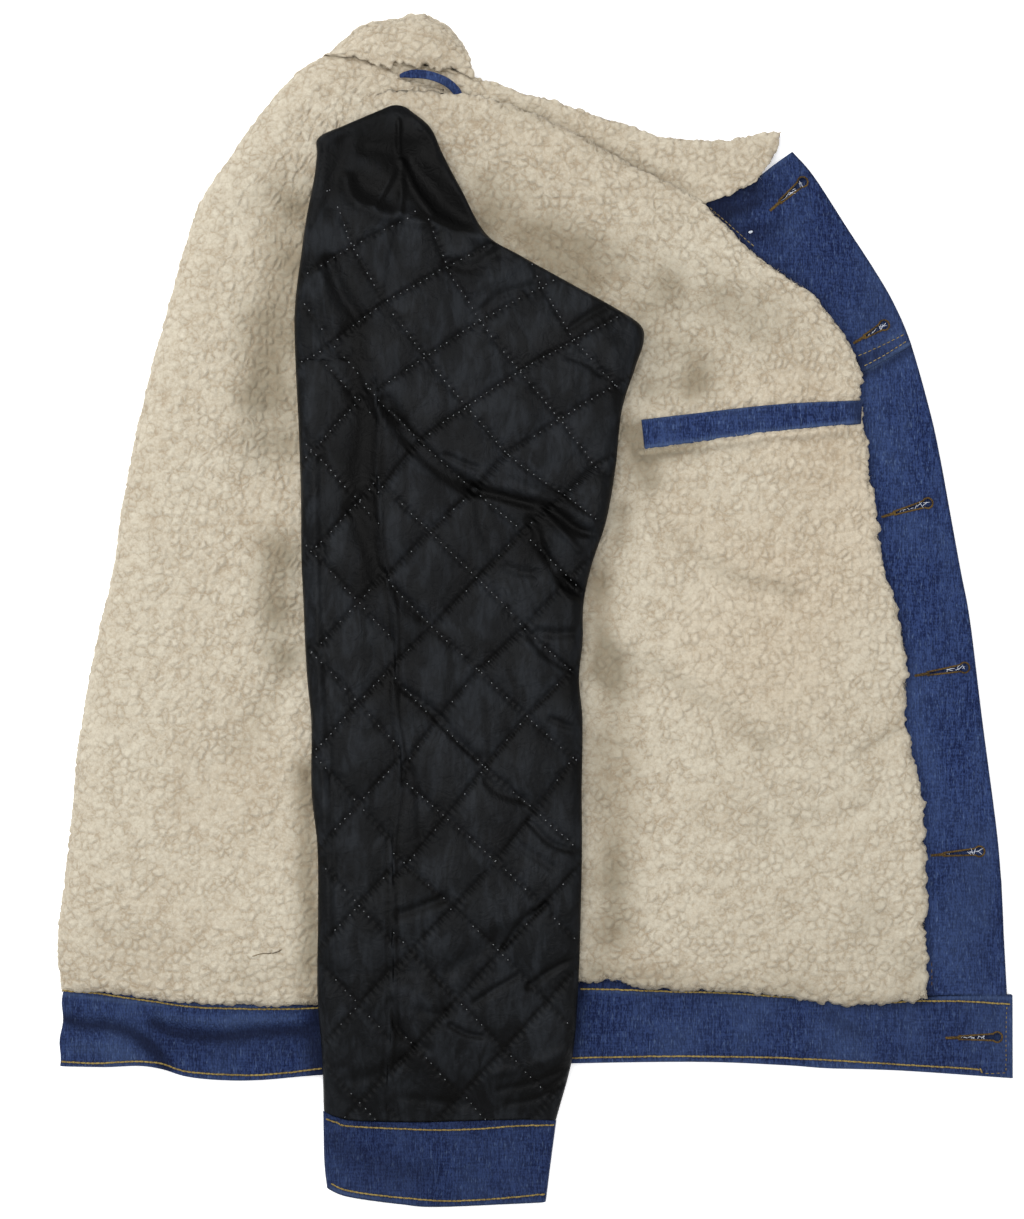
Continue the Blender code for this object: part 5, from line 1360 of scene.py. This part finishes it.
def sectionSpot(along, left, right, sag, share):
    spot = left + (right - left) * share[:, None]
    spot[:, 1] -= sag * 4 * share * (1 - share)
    start, end = np.array(sleeveRows[-1][:2])
    straight = start[1] + (end[1] - start[1]) * (spot[:, 0] - start[0]) / (end[0] - start[0])
    bend = np.clip((sleeveLook["endFit"] - along) / (sleeveLook["endFit"] - rowAlong[-1]), 0, 1)
    spot[:, 1] += (crossing(cuffLine, spot[:, 0], 0) + cloth["seamGap"] - straight) * bend
    return spot


def sleeveBed(spots):
    inside = np.column_stack([spots[:, 0], np.maximum(spots[:, 1], sleeveLook["dropTop"])])
    onBody = rollHeight(inside) + cloth["pile"] + cloth["layGap"]
    drop = ease((sleeveLook["dropTop"] - spots[:, 1]) / (sleeveLook["dropTop"] - sleeveLook["dropEnd"]))
    return onBody * (1 - drop)


def quiltPlace(spots):  # counts of the two sets of stitch lines, and which side of the seam
    rows, startX, startY, stepX, stepY = np.array(quiltRows, float).T
    row = np.interp(-spots[:, 1], -startY, rows)
    for _ in range(4):
        column = (spots[:, 0] - np.interp(row, rows, startX)) / np.interp(row, rows, stepX)
        row = np.interp(-(spots[:, 1] - column * np.interp(row, rows, stepY)), -startY, rows)
    away, _ = awayFrom(seamCurve, spots)
    isLeft = (spots[:, 0] < crossing(seamCurve, spots[:, 1], 1)) & (spots[:, 1] < 150)
    leftColumn = (spots[:, 0] - leftQuilt["x"]) / leftQuilt["across"]
    leftRow = -(spots[:, 1] - leftQuilt["y"]) / leftQuilt["along"]
    column, row = np.where(isLeft, leftColumn, column), np.where(isLeft, leftRow, row)
    return (column + row) / 2, (column - row) / 2, away, isLeft


def quiltRelief(spots):  # height, painted shade, and for both sets of rows how far away and how far along
    down, up, seamAway, isLeft = quiltPlace(spots)
    cell, groove, pillow = (sleeveLook[name] for name in ("cell", "groove", "pillow"))
    awayDown, awayUp = (cell * np.abs(count - np.round(count)) for count in (down, up))
    puff = (1 - np.exp(-awayDown / pillow)) * (1 - np.exp(-awayUp / pillow))
    puff = np.where(isLeft, 0.8, 1.0) * sleeveLook["puff"] * puff
    sewn = ease((sleeveLook["plainAbove"] - spots[:, 1]) / 12)
    sunk = 0.45 * np.exp(-(awayDown / groove) ** 2) + 0.35 * np.exp(-(awayUp / groove) ** 2)
    gather = np.zeros(len(spots))
    for away, count, other, seed in ((awayDown, down, up, 63), (awayUp, up, down, 64)):
        place = np.column_stack([other * cell / sleeveLook["gatherEvery"], np.round(count) * 17.0,
                                 away * 0.05])
        gather += softNoise(place, 1.0, seed) * np.exp(-away / sleeveLook["gatherReach"])
    wave = 0.5 * flatNoise(spots * (1, 0.6), 10, 61) + 0.8 * flatNoise(spots, 26, 62)
    near = np.maximum(0, spots[:, 1] - crossing(cuffLine, spots[:, 0], 0))
    pleats = 0.7 * softNoise(np.column_stack([spots[:, 0] / 4.2, near / 40, near * 0]), 1.0, 65)
    seam = (spots[:, 1] < 132) * 1.0
    ridge = np.exp(-((seamAway - 0.5) / 2.6) ** 2) * np.where(spots[:, 1] > -90, 1.0, 0.45)
    lift = (sewn * (puff - sunk + 0.5 * gather) + 0.6 * wave + pleats * np.exp(-near / 9)
            + seam * (0.6 * ridge - 0.45 * np.exp(-((seamAway - 3.2) / 1.0) ** 2)))
    # painted shade: darker stitch lines, each cell darker towards one side at a random angle, and a darker
    # groove beside the seam
    cells = np.column_stack([np.floor(down), np.floor(up), 0 * down])
    pick = scatter(cells, 91)
    turn = 2 * np.pi * pick[:, 0]
    slant = np.cos(turn) * (down - cells[:, 0] - 0.5) + np.sin(turn) * (up - cells[:, 1] - 0.5)
    lines = 0.5 * np.exp(-(awayDown / 1.1) ** 2) + 0.4 * np.exp(-(awayUp / 1.0) ** 2)
    crease = np.clip((lines + (0.1 + 0.75 * pick[:, 1]) * ease((slant + 0.05) / 0.45)) * sewn
                     + 0.5 * seam * np.exp(-((seamAway - 3.2) / 1.1) ** 2), 0, 1)
    unsewn = 60 * (1 - sewn)
    return lift, crease, {"awayUp": awayUp + unsewn, "awayDown": awayDown + unsewn,
                          "alongUp": down * cell, "alongDown": up * cell}


def makeSleeve():
    top, end = rowAlong[0], rowAlong[-1]

    def place(u, v, inner):
        along = end + (top - end) * v
        left, right, thick, sag = section(along)
        width = np.linalg.norm(right - left, axis=1)
        wall = sleeveLook["wall"] * inner
        over = u <= sleeveLook["upper"]
        share = np.where(over, u / sleeveLook["upper"], (1 - u) / (1 - sleeveLook["upper"]))
        distance = wall + (width - 2 * wall) * share
        spot = sectionSpot(along, left, right, sag, distance / width)
        full = quarterRound(np.minimum(distance, width - distance) / sleeveLook["round"])
        half = np.maximum(thick / 2 - wall, 0.3) * full
        middle = sleeveBed(spot) + thick / 2
        drawn = spot * sleeveLook["drawn"]
        lift, crease, numbers = quiltRelief(drawn)
        folds = foldHeight(sleeveFolds, drawn)
        softened = full * np.clip((thick - 6) / 5, 0, 1)
        crest = middle + thick / 2 * full + (folds + lift - 1.0) * softened
        height = np.where(over, np.where(inner > 0.5, np.minimum(middle + half, crest - wall), crest),
                          middle - half)
        # painted shade in the troughs of the folds
        numbers["crease"] = np.clip(crease + np.clip(-folds, 0, 3) * 0.2, 0, 1) * over * softened
        numbers["level"] = over * ease((np.minimum(distance, width - distance) - 3) / 8)
        return withHeight(spot, height), numbers

    bm = bmesh.new()
    addSquares(bm, 170, 556)
    inner = addSquares(bm, 48, 60, 1)
    bmesh.ops.reverse_faces(bm, faces=list({face for vert in inner for face in vert.link_faces}))
    square = placesOf(bm)
    points, numbers = place(square[:, 0], square[:, 1], np.round(square[:, 2]))
    for name, values in numbers.items():
        layer = bm.verts.layers.float.new(name)
        for vert, value in zip(bm.verts, values):
            vert[layer] = value
    movePoints(bm, points)
    bmesh.ops.remove_doubles(bm, verts=[v for v in bm.verts if v.is_boundary], dist=0.02 * mm)
    bmesh.ops.bridge_loops(bm, edges=[e for e in bm.edges if e.is_boundary and e.verts[0].co.y < -0.25])
    bmesh.ops.holes_fill(bm, edges=[e for e in bm.edges if e.is_boundary], sides=0)
    bmesh.ops.triangulate(bm, faces=[f for f in bm.faces if len(f.verts) > 4])
    mesh = toMesh(bm, "sleeve_quilted_satin")
    shadeSlopes(mesh)
    return addObject("sleeve_quilted_satin", mesh, satinCloth)


def shadeSlopes(mesh):  # the satin shows darker where it slopes, most of all away from the light
    normals, spots = readNormals(mesh), readPoints(mesh)[:, :2] / mm * sleeveLook["drawn"]
    steep = np.sqrt(np.maximum(0, 1 - normals[:, 2] ** 2))
    turned = np.clip((0.75 * normals[:, 0] + 0.4 * normals[:, 1]) / np.maximum(steep, 0.05), -1, 1)
    crease, level = np.empty(len(normals), np.float32), np.empty(len(normals), np.float32)
    mesh.attributes["crease"].data.foreach_get("value", crease)
    mesh.attributes["level"].data.foreach_get("value", level)
    tone = ease((steep - 0.14) / 0.5) * (0.6 + 0.4 * turned) * level
    tone = np.clip(0.8 * crease + tone + foldHeight(satinShades, spots), 0, 1)
    mesh.attributes["crease"].data.foreach_set("value", tone.astype(np.float32))


cuffLook = {"half": 3.7, "wall": 1.6, "rim": 3.7}  # half its thickness, its wall, how round its sides are


def makeCuff():
    half, wall = cuffLook["half"], cuffLook["wall"]
    plan = patch(edgeOf(cuffTop), edgeOf(cuffBottom), edgeOf(cuffLeft, 1, 0), edgeOf(cuffRight, 1, 0))

    def place(u, v):  # u goes round, v runs down the outside and up the inside
        inside = v > 0.5
        down = np.where(inside, 2 - 2 * v, 2 * v)
        over = u <= 0.5
        share = np.where(over, 2 * u, 2 - 2 * u)
        share = 0.5 - 0.5 * np.cos(np.pi * (0.35 * share + 0.65 * np.arccos(1 - 2 * share) / np.pi))
        width = np.linalg.norm(plan(np.ones_like(u), 1 - down) - plan(np.zeros_like(u), 1 - down), axis=1)
        distance = share * width
        full = quarterRound(np.minimum(distance, width - distance) / cuffLook["rim"])
        distance = np.where(inside, wall + share * (width - 2 * wall), distance)
        spot = plan(distance / width, 1 - down)
        height = np.where(inside, half - wall, half) * full
        middle = sleeveBed(spot) + half
        relief = cuffRelief(spot) * over * ~inside * full
        return withHeight(spot, middle + np.where(over, height, -height) + relief)

    bm = bmesh.new()
    addSquares(bm, 160, 60)
    square = placesOf(bm)
    movePoints(bm, place(square[:, 0], square[:, 1]))
    bmesh.ops.remove_doubles(bm, verts=[v for v in bm.verts if v.is_boundary], dist=0.02 * mm)
    bmesh.ops.bridge_loops(bm, edges=[e for e in bm.edges if e.is_boundary])
    bmesh.ops.recalc_face_normals(bm, faces=bm.faces)
    return addObject("sleeve_cuff_denim", toMesh(bm, "sleeve_cuff_denim"), denimCloth)


cuffRows = [
    {"on": "sleeve_cuff", "stitch": 3.6, "gap": -0.7, "thick": 1.2,
     "line": [(-125.2, -304.4), (-119, -306.6), (-113, -308.6), (-91.7, -309.9), (-59.7, -310.9),
              (-31.7, -310.1), (-11.7, -308.6), (11.2, -307.9)]},
    {"on": "sleeve_cuff", "stitch": 3.6, "gap": -0.7, "thick": 1.2,
     "line": [(-122.3, -343.6), (-113, -347.4), (-91.7, -350.6), (-57, -353.6), (-31.7, -352.9),
              (-11.7, -351.3), (5.6, -349.6)]},
]


def cuffRelief(spots):
    lift = 0.5 * flatNoise(spots, 26, 19) + foldHeight(denimFolds, spots)
    for row in cuffRows:
        away, place = awayFrom(rowLine(row), spots)
        lift -= 0.4 * np.exp(-(away / 1.1) ** 2)
        lift += 0.14 * np.sin(place * 0.8) * np.exp(-(away / 5) ** 2)
    return lift


sleeve = makeSleeve()
denims["sleeve_cuff"] = makeCuff()
print("sleeve ready")

# sewing


def surfaceOf(thing):
    mesh = thing.data
    mesh.calc_loop_triangles()
    corners = np.empty(len(mesh.loop_triangles) * 3, np.int32)
    mesh.loop_triangles.foreach_get("vertices", corners)
    return BVHTree.FromPolygons([tuple(p) for p in readPoints(mesh)],
                                [tuple(t) for t in corners.reshape(-1, 3)])


def dropOnto(tree, spots):  # the highest place of a surface over each spot, and its normal
    hits = []
    for x, y in spots:
        place, normal, _, _ = tree.ray_cast(Vector((x * mm, y * mm, 0.1)), Vector((0, 0, -1)))
        hits.append((tuple(place / mm), tuple(normal)) if place else ((x, y, 0), (0, 0, 1)))
    return np.array([h[0] for h in hits]), np.array([h[1] for h in hits])


def shapeOf(bm):
    mesh = toMesh(bm, "shape")
    points, faces = readPoints(mesh), [tuple(face.vertices) for face in mesh.polygons]
    bpy.data.meshes.remove(mesh)
    return points, faces


def beadShape(segments, rings):  # a small round body, its long way along X
    bm = bmesh.new()
    bmesh.ops.create_uvsphere(bm, u_segments=segments, v_segments=rings, radius=1.0)
    points, faces = shapeOf(bm)
    return points[:, [2, 0, 1]], faces


def wispShape(curl, droop):  # a tapered lock that starts at 0 and curls towards +Y
    bm = bmesh.new()
    bmesh.ops.create_cone(bm, cap_ends=True, segments=3, radius1=0.075, radius2=0.03, depth=1.0)
    for cut in (-0.25, 0.0, 0.25):
        bmesh.ops.bisect_plane(bm, geom=bm.verts[:] + bm.edges[:] + bm.faces[:], dist=1e-5,
                               plane_co=(0, 0, cut), plane_no=(0, 0, 1))
    points, faces = shapeOf(bm)
    points = points[:, [2, 0, 1]] + (0.5, 0, 0)
    along = points[:, 0].copy()
    points[:, 1] += curl * along ** 2
    points[:, 2] += 0.25 * along - droop * along ** 2
    points[:, 0] -= 0.45 * abs(curl) * along ** 2
    return points, faces


def stampMesh(name, stamps, material, shape):
    # one small shape, copied to each place: centre, direction, up, half sizes
    points, faces = shape
    centre, along, up, size = (np.array(part, float) for part in zip(*stamps))
    along = unit(along)
    across = unit(np.cross(up, along))
    up = np.cross(along, across)
    axes = np.stack([along, across, up], 1) * size[:, :, None]
    placed = np.einsum("vk,nkd->nvd", points, axes) + centre[:, None, :]
    mesh = bpy.data.meshes.new(name)
    copies = [tuple(k + n * len(points) for k in face) for n in range(len(placed)) for face in faces]
    mesh.from_pydata((placed.reshape(-1, 3) * mm).tolist(), [], copies)
    bm = bmesh.new()
    bm.from_mesh(mesh)
    bmesh.ops.recalc_face_normals(bm, faces=bm.faces)
    bm.to_mesh(mesh)
    bm.free()
    return addObject(name, mesh, material)


def stitchStamps(line, tree, stitch, gap, thick, sink=0.15, wobble=0.0, seed=1):
    length = reachOf(line)[-1]
    count = max(2, int(length / (stitch + gap)))
    starts = (np.arange(count) + 0.5) / count
    random = np.random.default_rng(seed)
    middle, ahead = onLine(line, starts), onLine(line, starts + 0.3 / length * stitch)
    middle = middle + random.normal(0, wobble, middle.shape)
    place, normal = dropOnto(tree, middle)
    front, _ = dropOnto(tree, middle + (ahead - onLine(line, starts)))
    run = unit(front - place)
    return [(p + n * (thick / 2 - sink), r, n, (stitch / 2, thick / 2, thick / 2))
            for p, n, r in zip(place, normal, run) if p[2] > 0.5 and n[2] > 0.3]


surfaces = {name: surfaceOf(thing) for name, thing in denims.items()}
topStamps = {}
for row in stitchRows + cuffRows:
    topStamps.setdefault(row["on"], []).extend(stitchStamps(
        rowLine(row), surfaces[row["on"]], row["stitch"], row["gap"], row["thick"], wobble=0.06))
rowThreads = {"facing_yoke": paleThread, "facing_front": brownThread}
sewing = {name: stampMesh("topstitch_" + name, stamps, rowThreads.get(name, ochreThread), beadShape(6, 5))
          for name, stamps in topStamps.items()}


linedSurfaces = {name: surfaceOf(thing) for name, thing in linings.items()}
looseLine = smoothLine([(-168.6, -206), (-163, -204.4), (-157, -204.2), (-150.9, -202.3)])
looseStamps = stitchStamps(looseLine, linedSurfaces["lining_back"], 2.2, -0.7, 0.5, sink=-0.1)
looseThread = stampMesh("loose_thread", looseStamps, brownThread, beadShape(5, 4))


def outFrom(line, shares):  # directions square to a line, to its left
    run = unit(onLine(line, shares + 0.01) - onLine(line, shares - 0.01))
    return np.column_stack([-run[:, 1], run[:, 0]])


def turnBy(direction, angle, rise=0.0):
    x, y = direction
    return x * math.cos(angle) - y * math.sin(angle), x * math.sin(angle) + y * math.cos(angle), rise


def makeButtonholes():
    lips, frays = [], []
    random = np.random.default_rng(5)
    for hole in buttonholes:
        tree = surfaces[hole["on"]]
        tail, along, across, length = holeFrame(hole)
        line = holeOutline(hole)
        count = int(reachOf(line)[-1] / holeLook["stitchEvery"])
        shares = np.linspace(0, 1, count)
        spots = onLine(line, shares)
        out = outFrom(line, shares)
        place, _ = dropOnto(tree, spots + out * 0.5)
        place[:, :2] = spots
        for p, o in zip(place, out):
            lips.append((p + (0, 0, 0.25), turnBy(o, random.normal(0, 0.18)), (0, 0, 1),
                         (holeLook["cord"] / 2, 0.36, 0.42)))
        for step in np.arange(0.4, holeLook["tack"] + 1.2, 0.5):
            spot = tail + along * step
            place, _ = dropOnto(tree, [spot + across * 1.4])
            lips.append(((spot[0], spot[1], place[0][2] + 0.3), (across[0], across[1], 0), (0, 0, 1),
                         (0.85 + 0.25 * step / holeLook["tack"], 0.34, 0.42)))
        edge, _ = dropOnto(tree, [tail + along * length * 0.6 + across * 3.4])
        for k in range(11):
            step = holeLook["tack"] + 1.5 + (length - holeLook["tack"] - 5) * random.random() ** 0.8
            spot = tail + along * step + across * random.normal(0, 0.5)
            turn = random.normal(0, 0.5) + (1.2 if k % 4 == 0 else 0)
            direction = along * math.cos(turn) + across * math.sin(turn)
            frays.append(((spot[0], spot[1], edge[0][2] - 0.2 + 0.4 * random.random()),
                          (direction[0], direction[1], random.normal(0, 0.12)), (0, 0, 1),
                          (1.0 + 1.5 * random.random(), 0.2, 0.2)))
    fleck, _ = dropOnto(surfaces["facing_yoke"], [(128.3, 226)])
    frays.append((fleck[0] + (0, 0, 0.1), (1, 0.35, 0), (0, 0, 1), (1.8, 0.9, 0.3)))
    return (stampMesh("buttonhole_thread", lips, brownThread, beadShape(5, 4)),
            stampMesh("buttonhole_fray", frays, frayThread, beadShape(5, 4)))


holeThread, holeFray = makeButtonholes()


def makeQuiltStitches():
    tree = surfaceOf(sleeve)
    random = np.random.default_rng(8)
    grid = np.stack(np.meshgrid(np.arange(-146, 70, 1.0), np.arange(-306, 250, 1.0)), -1).reshape(-1, 2)
    down, up, _, isLeft = quiltPlace(grid * sleeveLook["drawn"])
    stamps = []
    for first, second, sign in ((down, up, 1), (up, down, -1)):
        for left in (False, True):
            side = isLeft == left
            for number in range(int(first[side].min()), int(first[side].max()) + 1):
                near = side & (np.abs(first - number) < 0.03)
                if near.sum() < 6:
                    continue
                spots, along = grid[near], second[near]
                order = np.argsort(along)
                spots, along = spots[order], along[order]
                steps = np.arange(along[0], along[-1], sleeveLook["stitch"] / sleeveLook["cell"])
                line = np.column_stack([np.interp(steps, along, spots[:, k]) for k in (0, 1)])
                if len(line) > 2:
                    kernel = np.ones(3) / 3
                    for k in (0, 1):
                        line[1:-1, k] = np.convolve(line[:, k], kernel, "valid")
                run = np.gradient(line, axis=0)
                place, normal = dropOnto(tree, line)
                for p, n, r in zip(place, normal, run):
                    shown = 0.92 if p[0] > -75 and -10 < p[1] < 205 else 0.6
                    if p[1] < -150:
                        shown = 0.35
                    if sign > 0 and p[1] < 110 and p[0] > -90:
                        shown = 0.22 if p[1] > -150 else 0.04
                    if p[2] > 8 and n[2] > 0.5 and inSleeve(p) and random.random() < shown:
                        size = 0.34 + 0.14 * random.random()
                        stamps.append((p + n * 0.12, (r[0], r[1], 0), n, (size, 0.32, 0.24)))
    return stampMesh("quilt_stitches", stamps, quiltThread, beadShape(5, 4))


def inSleeve(place):
    left, right, _, _ = section(np.array([place[1]]))
    return left[0, 0] + 3 < place[0] < right[0, 0] - 3 and place[1] < 236 - 0.35 * (place[0] + 60)


quiltStitches = makeQuiltStitches()
print("sewing ready")

# wisps of pile that hang over the seams


def edgeWisps(name, line, tree, perLength, lean, seed, reach=3.2):
    length = reachOf(line)[-1]
    random = np.random.default_rng(seed)
    shares = random.random(int(length * perLength))
    spots = onLine(line, shares)
    out = outFrom(line, shares) * lean
    inward = 1.0 + 1.6 * random.random((len(spots), 1))
    place, _ = dropOnto(tree, spots - out * inward)
    clumps = 0.5 + 0.5 * flatNoise(spots, 3.0, seed)
    stamps = []
    for p, o, clump in zip(place, out, clumps):
        if p[2] <= 0:
            continue
        direction = turnBy(o, random.normal(0, 0.75), random.normal(-0.15, 0.25))
        size = reach * (0.45 + 0.5 * clump + 0.35 * random.random())
        stamps.append(((p[0], p[1], p[2] - 0.2 - 1.1 * random.random()), direction, (0, 0, 1),
                       (size, size * random.choice((-1, 1)), size)))
    thing = stampMesh(name, stamps, sherpaCloth, wispShape(0.75, 0.7))
    keepPlaces(thing.data, "rest")
    for number, value in (("crevice", 0.05), ("hollow", 0.0), ("warm", 0.3)):
        keepNumber(thing.data, number, np.full(len(thing.data.vertices), value))
    return thing


wisps = [edgeWisps(name, smoothLine(line), linedSurfaces[lining], perLength, lean, seed)
         for name, line, lining, perLength, lean, seed in (
             ("wisps_lapel", outline["lapel"], "lining_front", 3.4, 1, 51),
             ("wisps_hem_front", outline["hemFront"], "lining_front", 3.4, -1, 52),
             ("wisps_hem_back", outline["hemBack"][1:], "lining_back", 2.6, -1, 53),
             ("wisps_roll", outline["roll"][1:], "lining_front", 2.0, 1, 54),
             ("wisps_collar", outline["collarEdge"], "collar_near", 1.5, 1, 55),
             ("wisps_collar_end", outline["collarEnd"], "collar_near", 3.0, -1, 56),
             ("wisps_neck", outline["neck"][7:], "collar_near", 3.0, -1, 57),
             ("wisps_far_collar", outline["farCollarEdge"], "collar_far", 1.4, 1, 58),
             ("wisps_welt", weltLook["bottom"], "lining_front", 3.0, 1, 59))]
print("wisps ready")

# the kept nodes, the cut of the cloth, floor, light and camera

for name, thing in {**linings, **denims}.items():
    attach(thing, "root")
    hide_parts(name)
for name, thing in denims.items():
    shadeAndWearDenim(thing, name)
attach(sleeve, "root")
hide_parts("sleeve_lining")
for thing in list(sewing.values()) + [holeThread, holeFray]:
    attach(thing, "root")
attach(looseThread, "root")
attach(quiltStitches, "root")
for thing in wisps:
    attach(thing, "root")
for name in ("hidden_layers", "under_collar"):
    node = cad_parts[name]
    node.data.materials.clear()
    node.data.materials.append(denimCloth)

sheets = {  # the cut of what shows, in metres: width, length and, where not a rectangle, area
    "lining_back": {"flat": (0.26, 0.60), "area": 0.124, "rests": ["hidden_layers"]},
    "lining_front": {"flat": (0.33, 0.57), "area": 0.151, "rests": ["hidden_layers"]},
    "collar_near": {"flat": (0.27, 0.045), "area": 0.0085, "rests": ["under_collar"]},
    "facing_yoke": {"flat": (0.07, 0.15), "area": 0.0074, "rests": ["hidden_layers"]},
    "facing_front": {"flat": (0.052, 0.40), "area": 0.0175, "rests": ["hidden_layers"]},
    "waistband": {"flat": (1.15, 0.046), "area": 0.051, "rests": ["hidden_layers"]},
    "pocket_welt": {"flat": (0.128, 0.016), "rests": ["lining_front_sherpa"]},
    "sleeve_cuff": {"flat": (0.278, 0.048), "rests": ["hidden_layers"]},
    "collar_far": {"flat": (0.088, 0.044), "area": 0.0037, "rests": ["under_collar"]},
}
for name, cut in sheets.items():
    thing = {**linings, **denims}[name]

studio = {"floor": (0.92, 0.92, 0.92), "glow": 0.45, "world": 0.55,
          "overhead": 26.0, "key": 16.0, "fill": 5.0,
          "distance": 2.2, "frameHeight": 0.7245, "aim": (-0.0140, 0.0006, 0.025)}


def makeFloor():
    bm = bmesh.new()
    bmesh.ops.create_grid(bm, x_segments=2, y_segments=2, size=3.0)
    bmesh.ops.translate(bm, verts=bm.verts, vec=(0, 0, -0.0002))
    material = finishMaterial(newMaterial("pale floor")[0], {
        "Base Color": studio["floor"] + (1.0,), "Roughness": 0.9, "Emission Color": (1, 1, 1, 1),
        "Emission Strength": studio["glow"]})
    floor = addObject("floor", toMesh(bm, "floor"), material)


def addLight(name, place, size, power):
    light = bpy.data.lights.new(name, "AREA")
    light.shape, light.size, light.energy = "SQUARE", size, power
    thing = bpy.data.objects.new(name, light)
    thing.location = place
    thing.rotation_euler = (-Vector(place)).to_track_quat("-Z", "Y").to_euler()
    bpy.context.scene.collection.objects.link(thing)


def makeStudio():
    world = bpy.data.worlds.new("studio")
    world.use_nodes = True
    background = world.node_tree.nodes["Background"]
    background.inputs[0].default_value = (1, 1, 1, 1)
    background.inputs[1].default_value = studio["world"]
    bpy.context.scene.world = world
    addLight("overhead softbox", (-0.3, 0.25, 1.9), 1.6, studio["overhead"])
    addLight("key softbox", (-1.5, 1.3, 1.3), 0.9, studio["key"])
    addLight("fill softbox", (1.7, -0.9, 1.2), 1.0, studio["fill"])
    camera = bpy.data.cameras.new("camera")
    camera.sensor_width = 36.0
    camera.lens = 36.0 * studio["distance"] / studio["frameHeight"]
    thing = bpy.data.objects.new("camera", camera)
    aim = Vector(studio["aim"])
    thing.location = aim + Vector((0, 0, studio["distance"]))
    bpy.context.scene.collection.objects.link(thing)
    bpy.context.scene.camera = thing
    bpy.context.scene.view_settings.view_transform = "Standard"


makeFloor()
makeStudio()
print("scene ready")
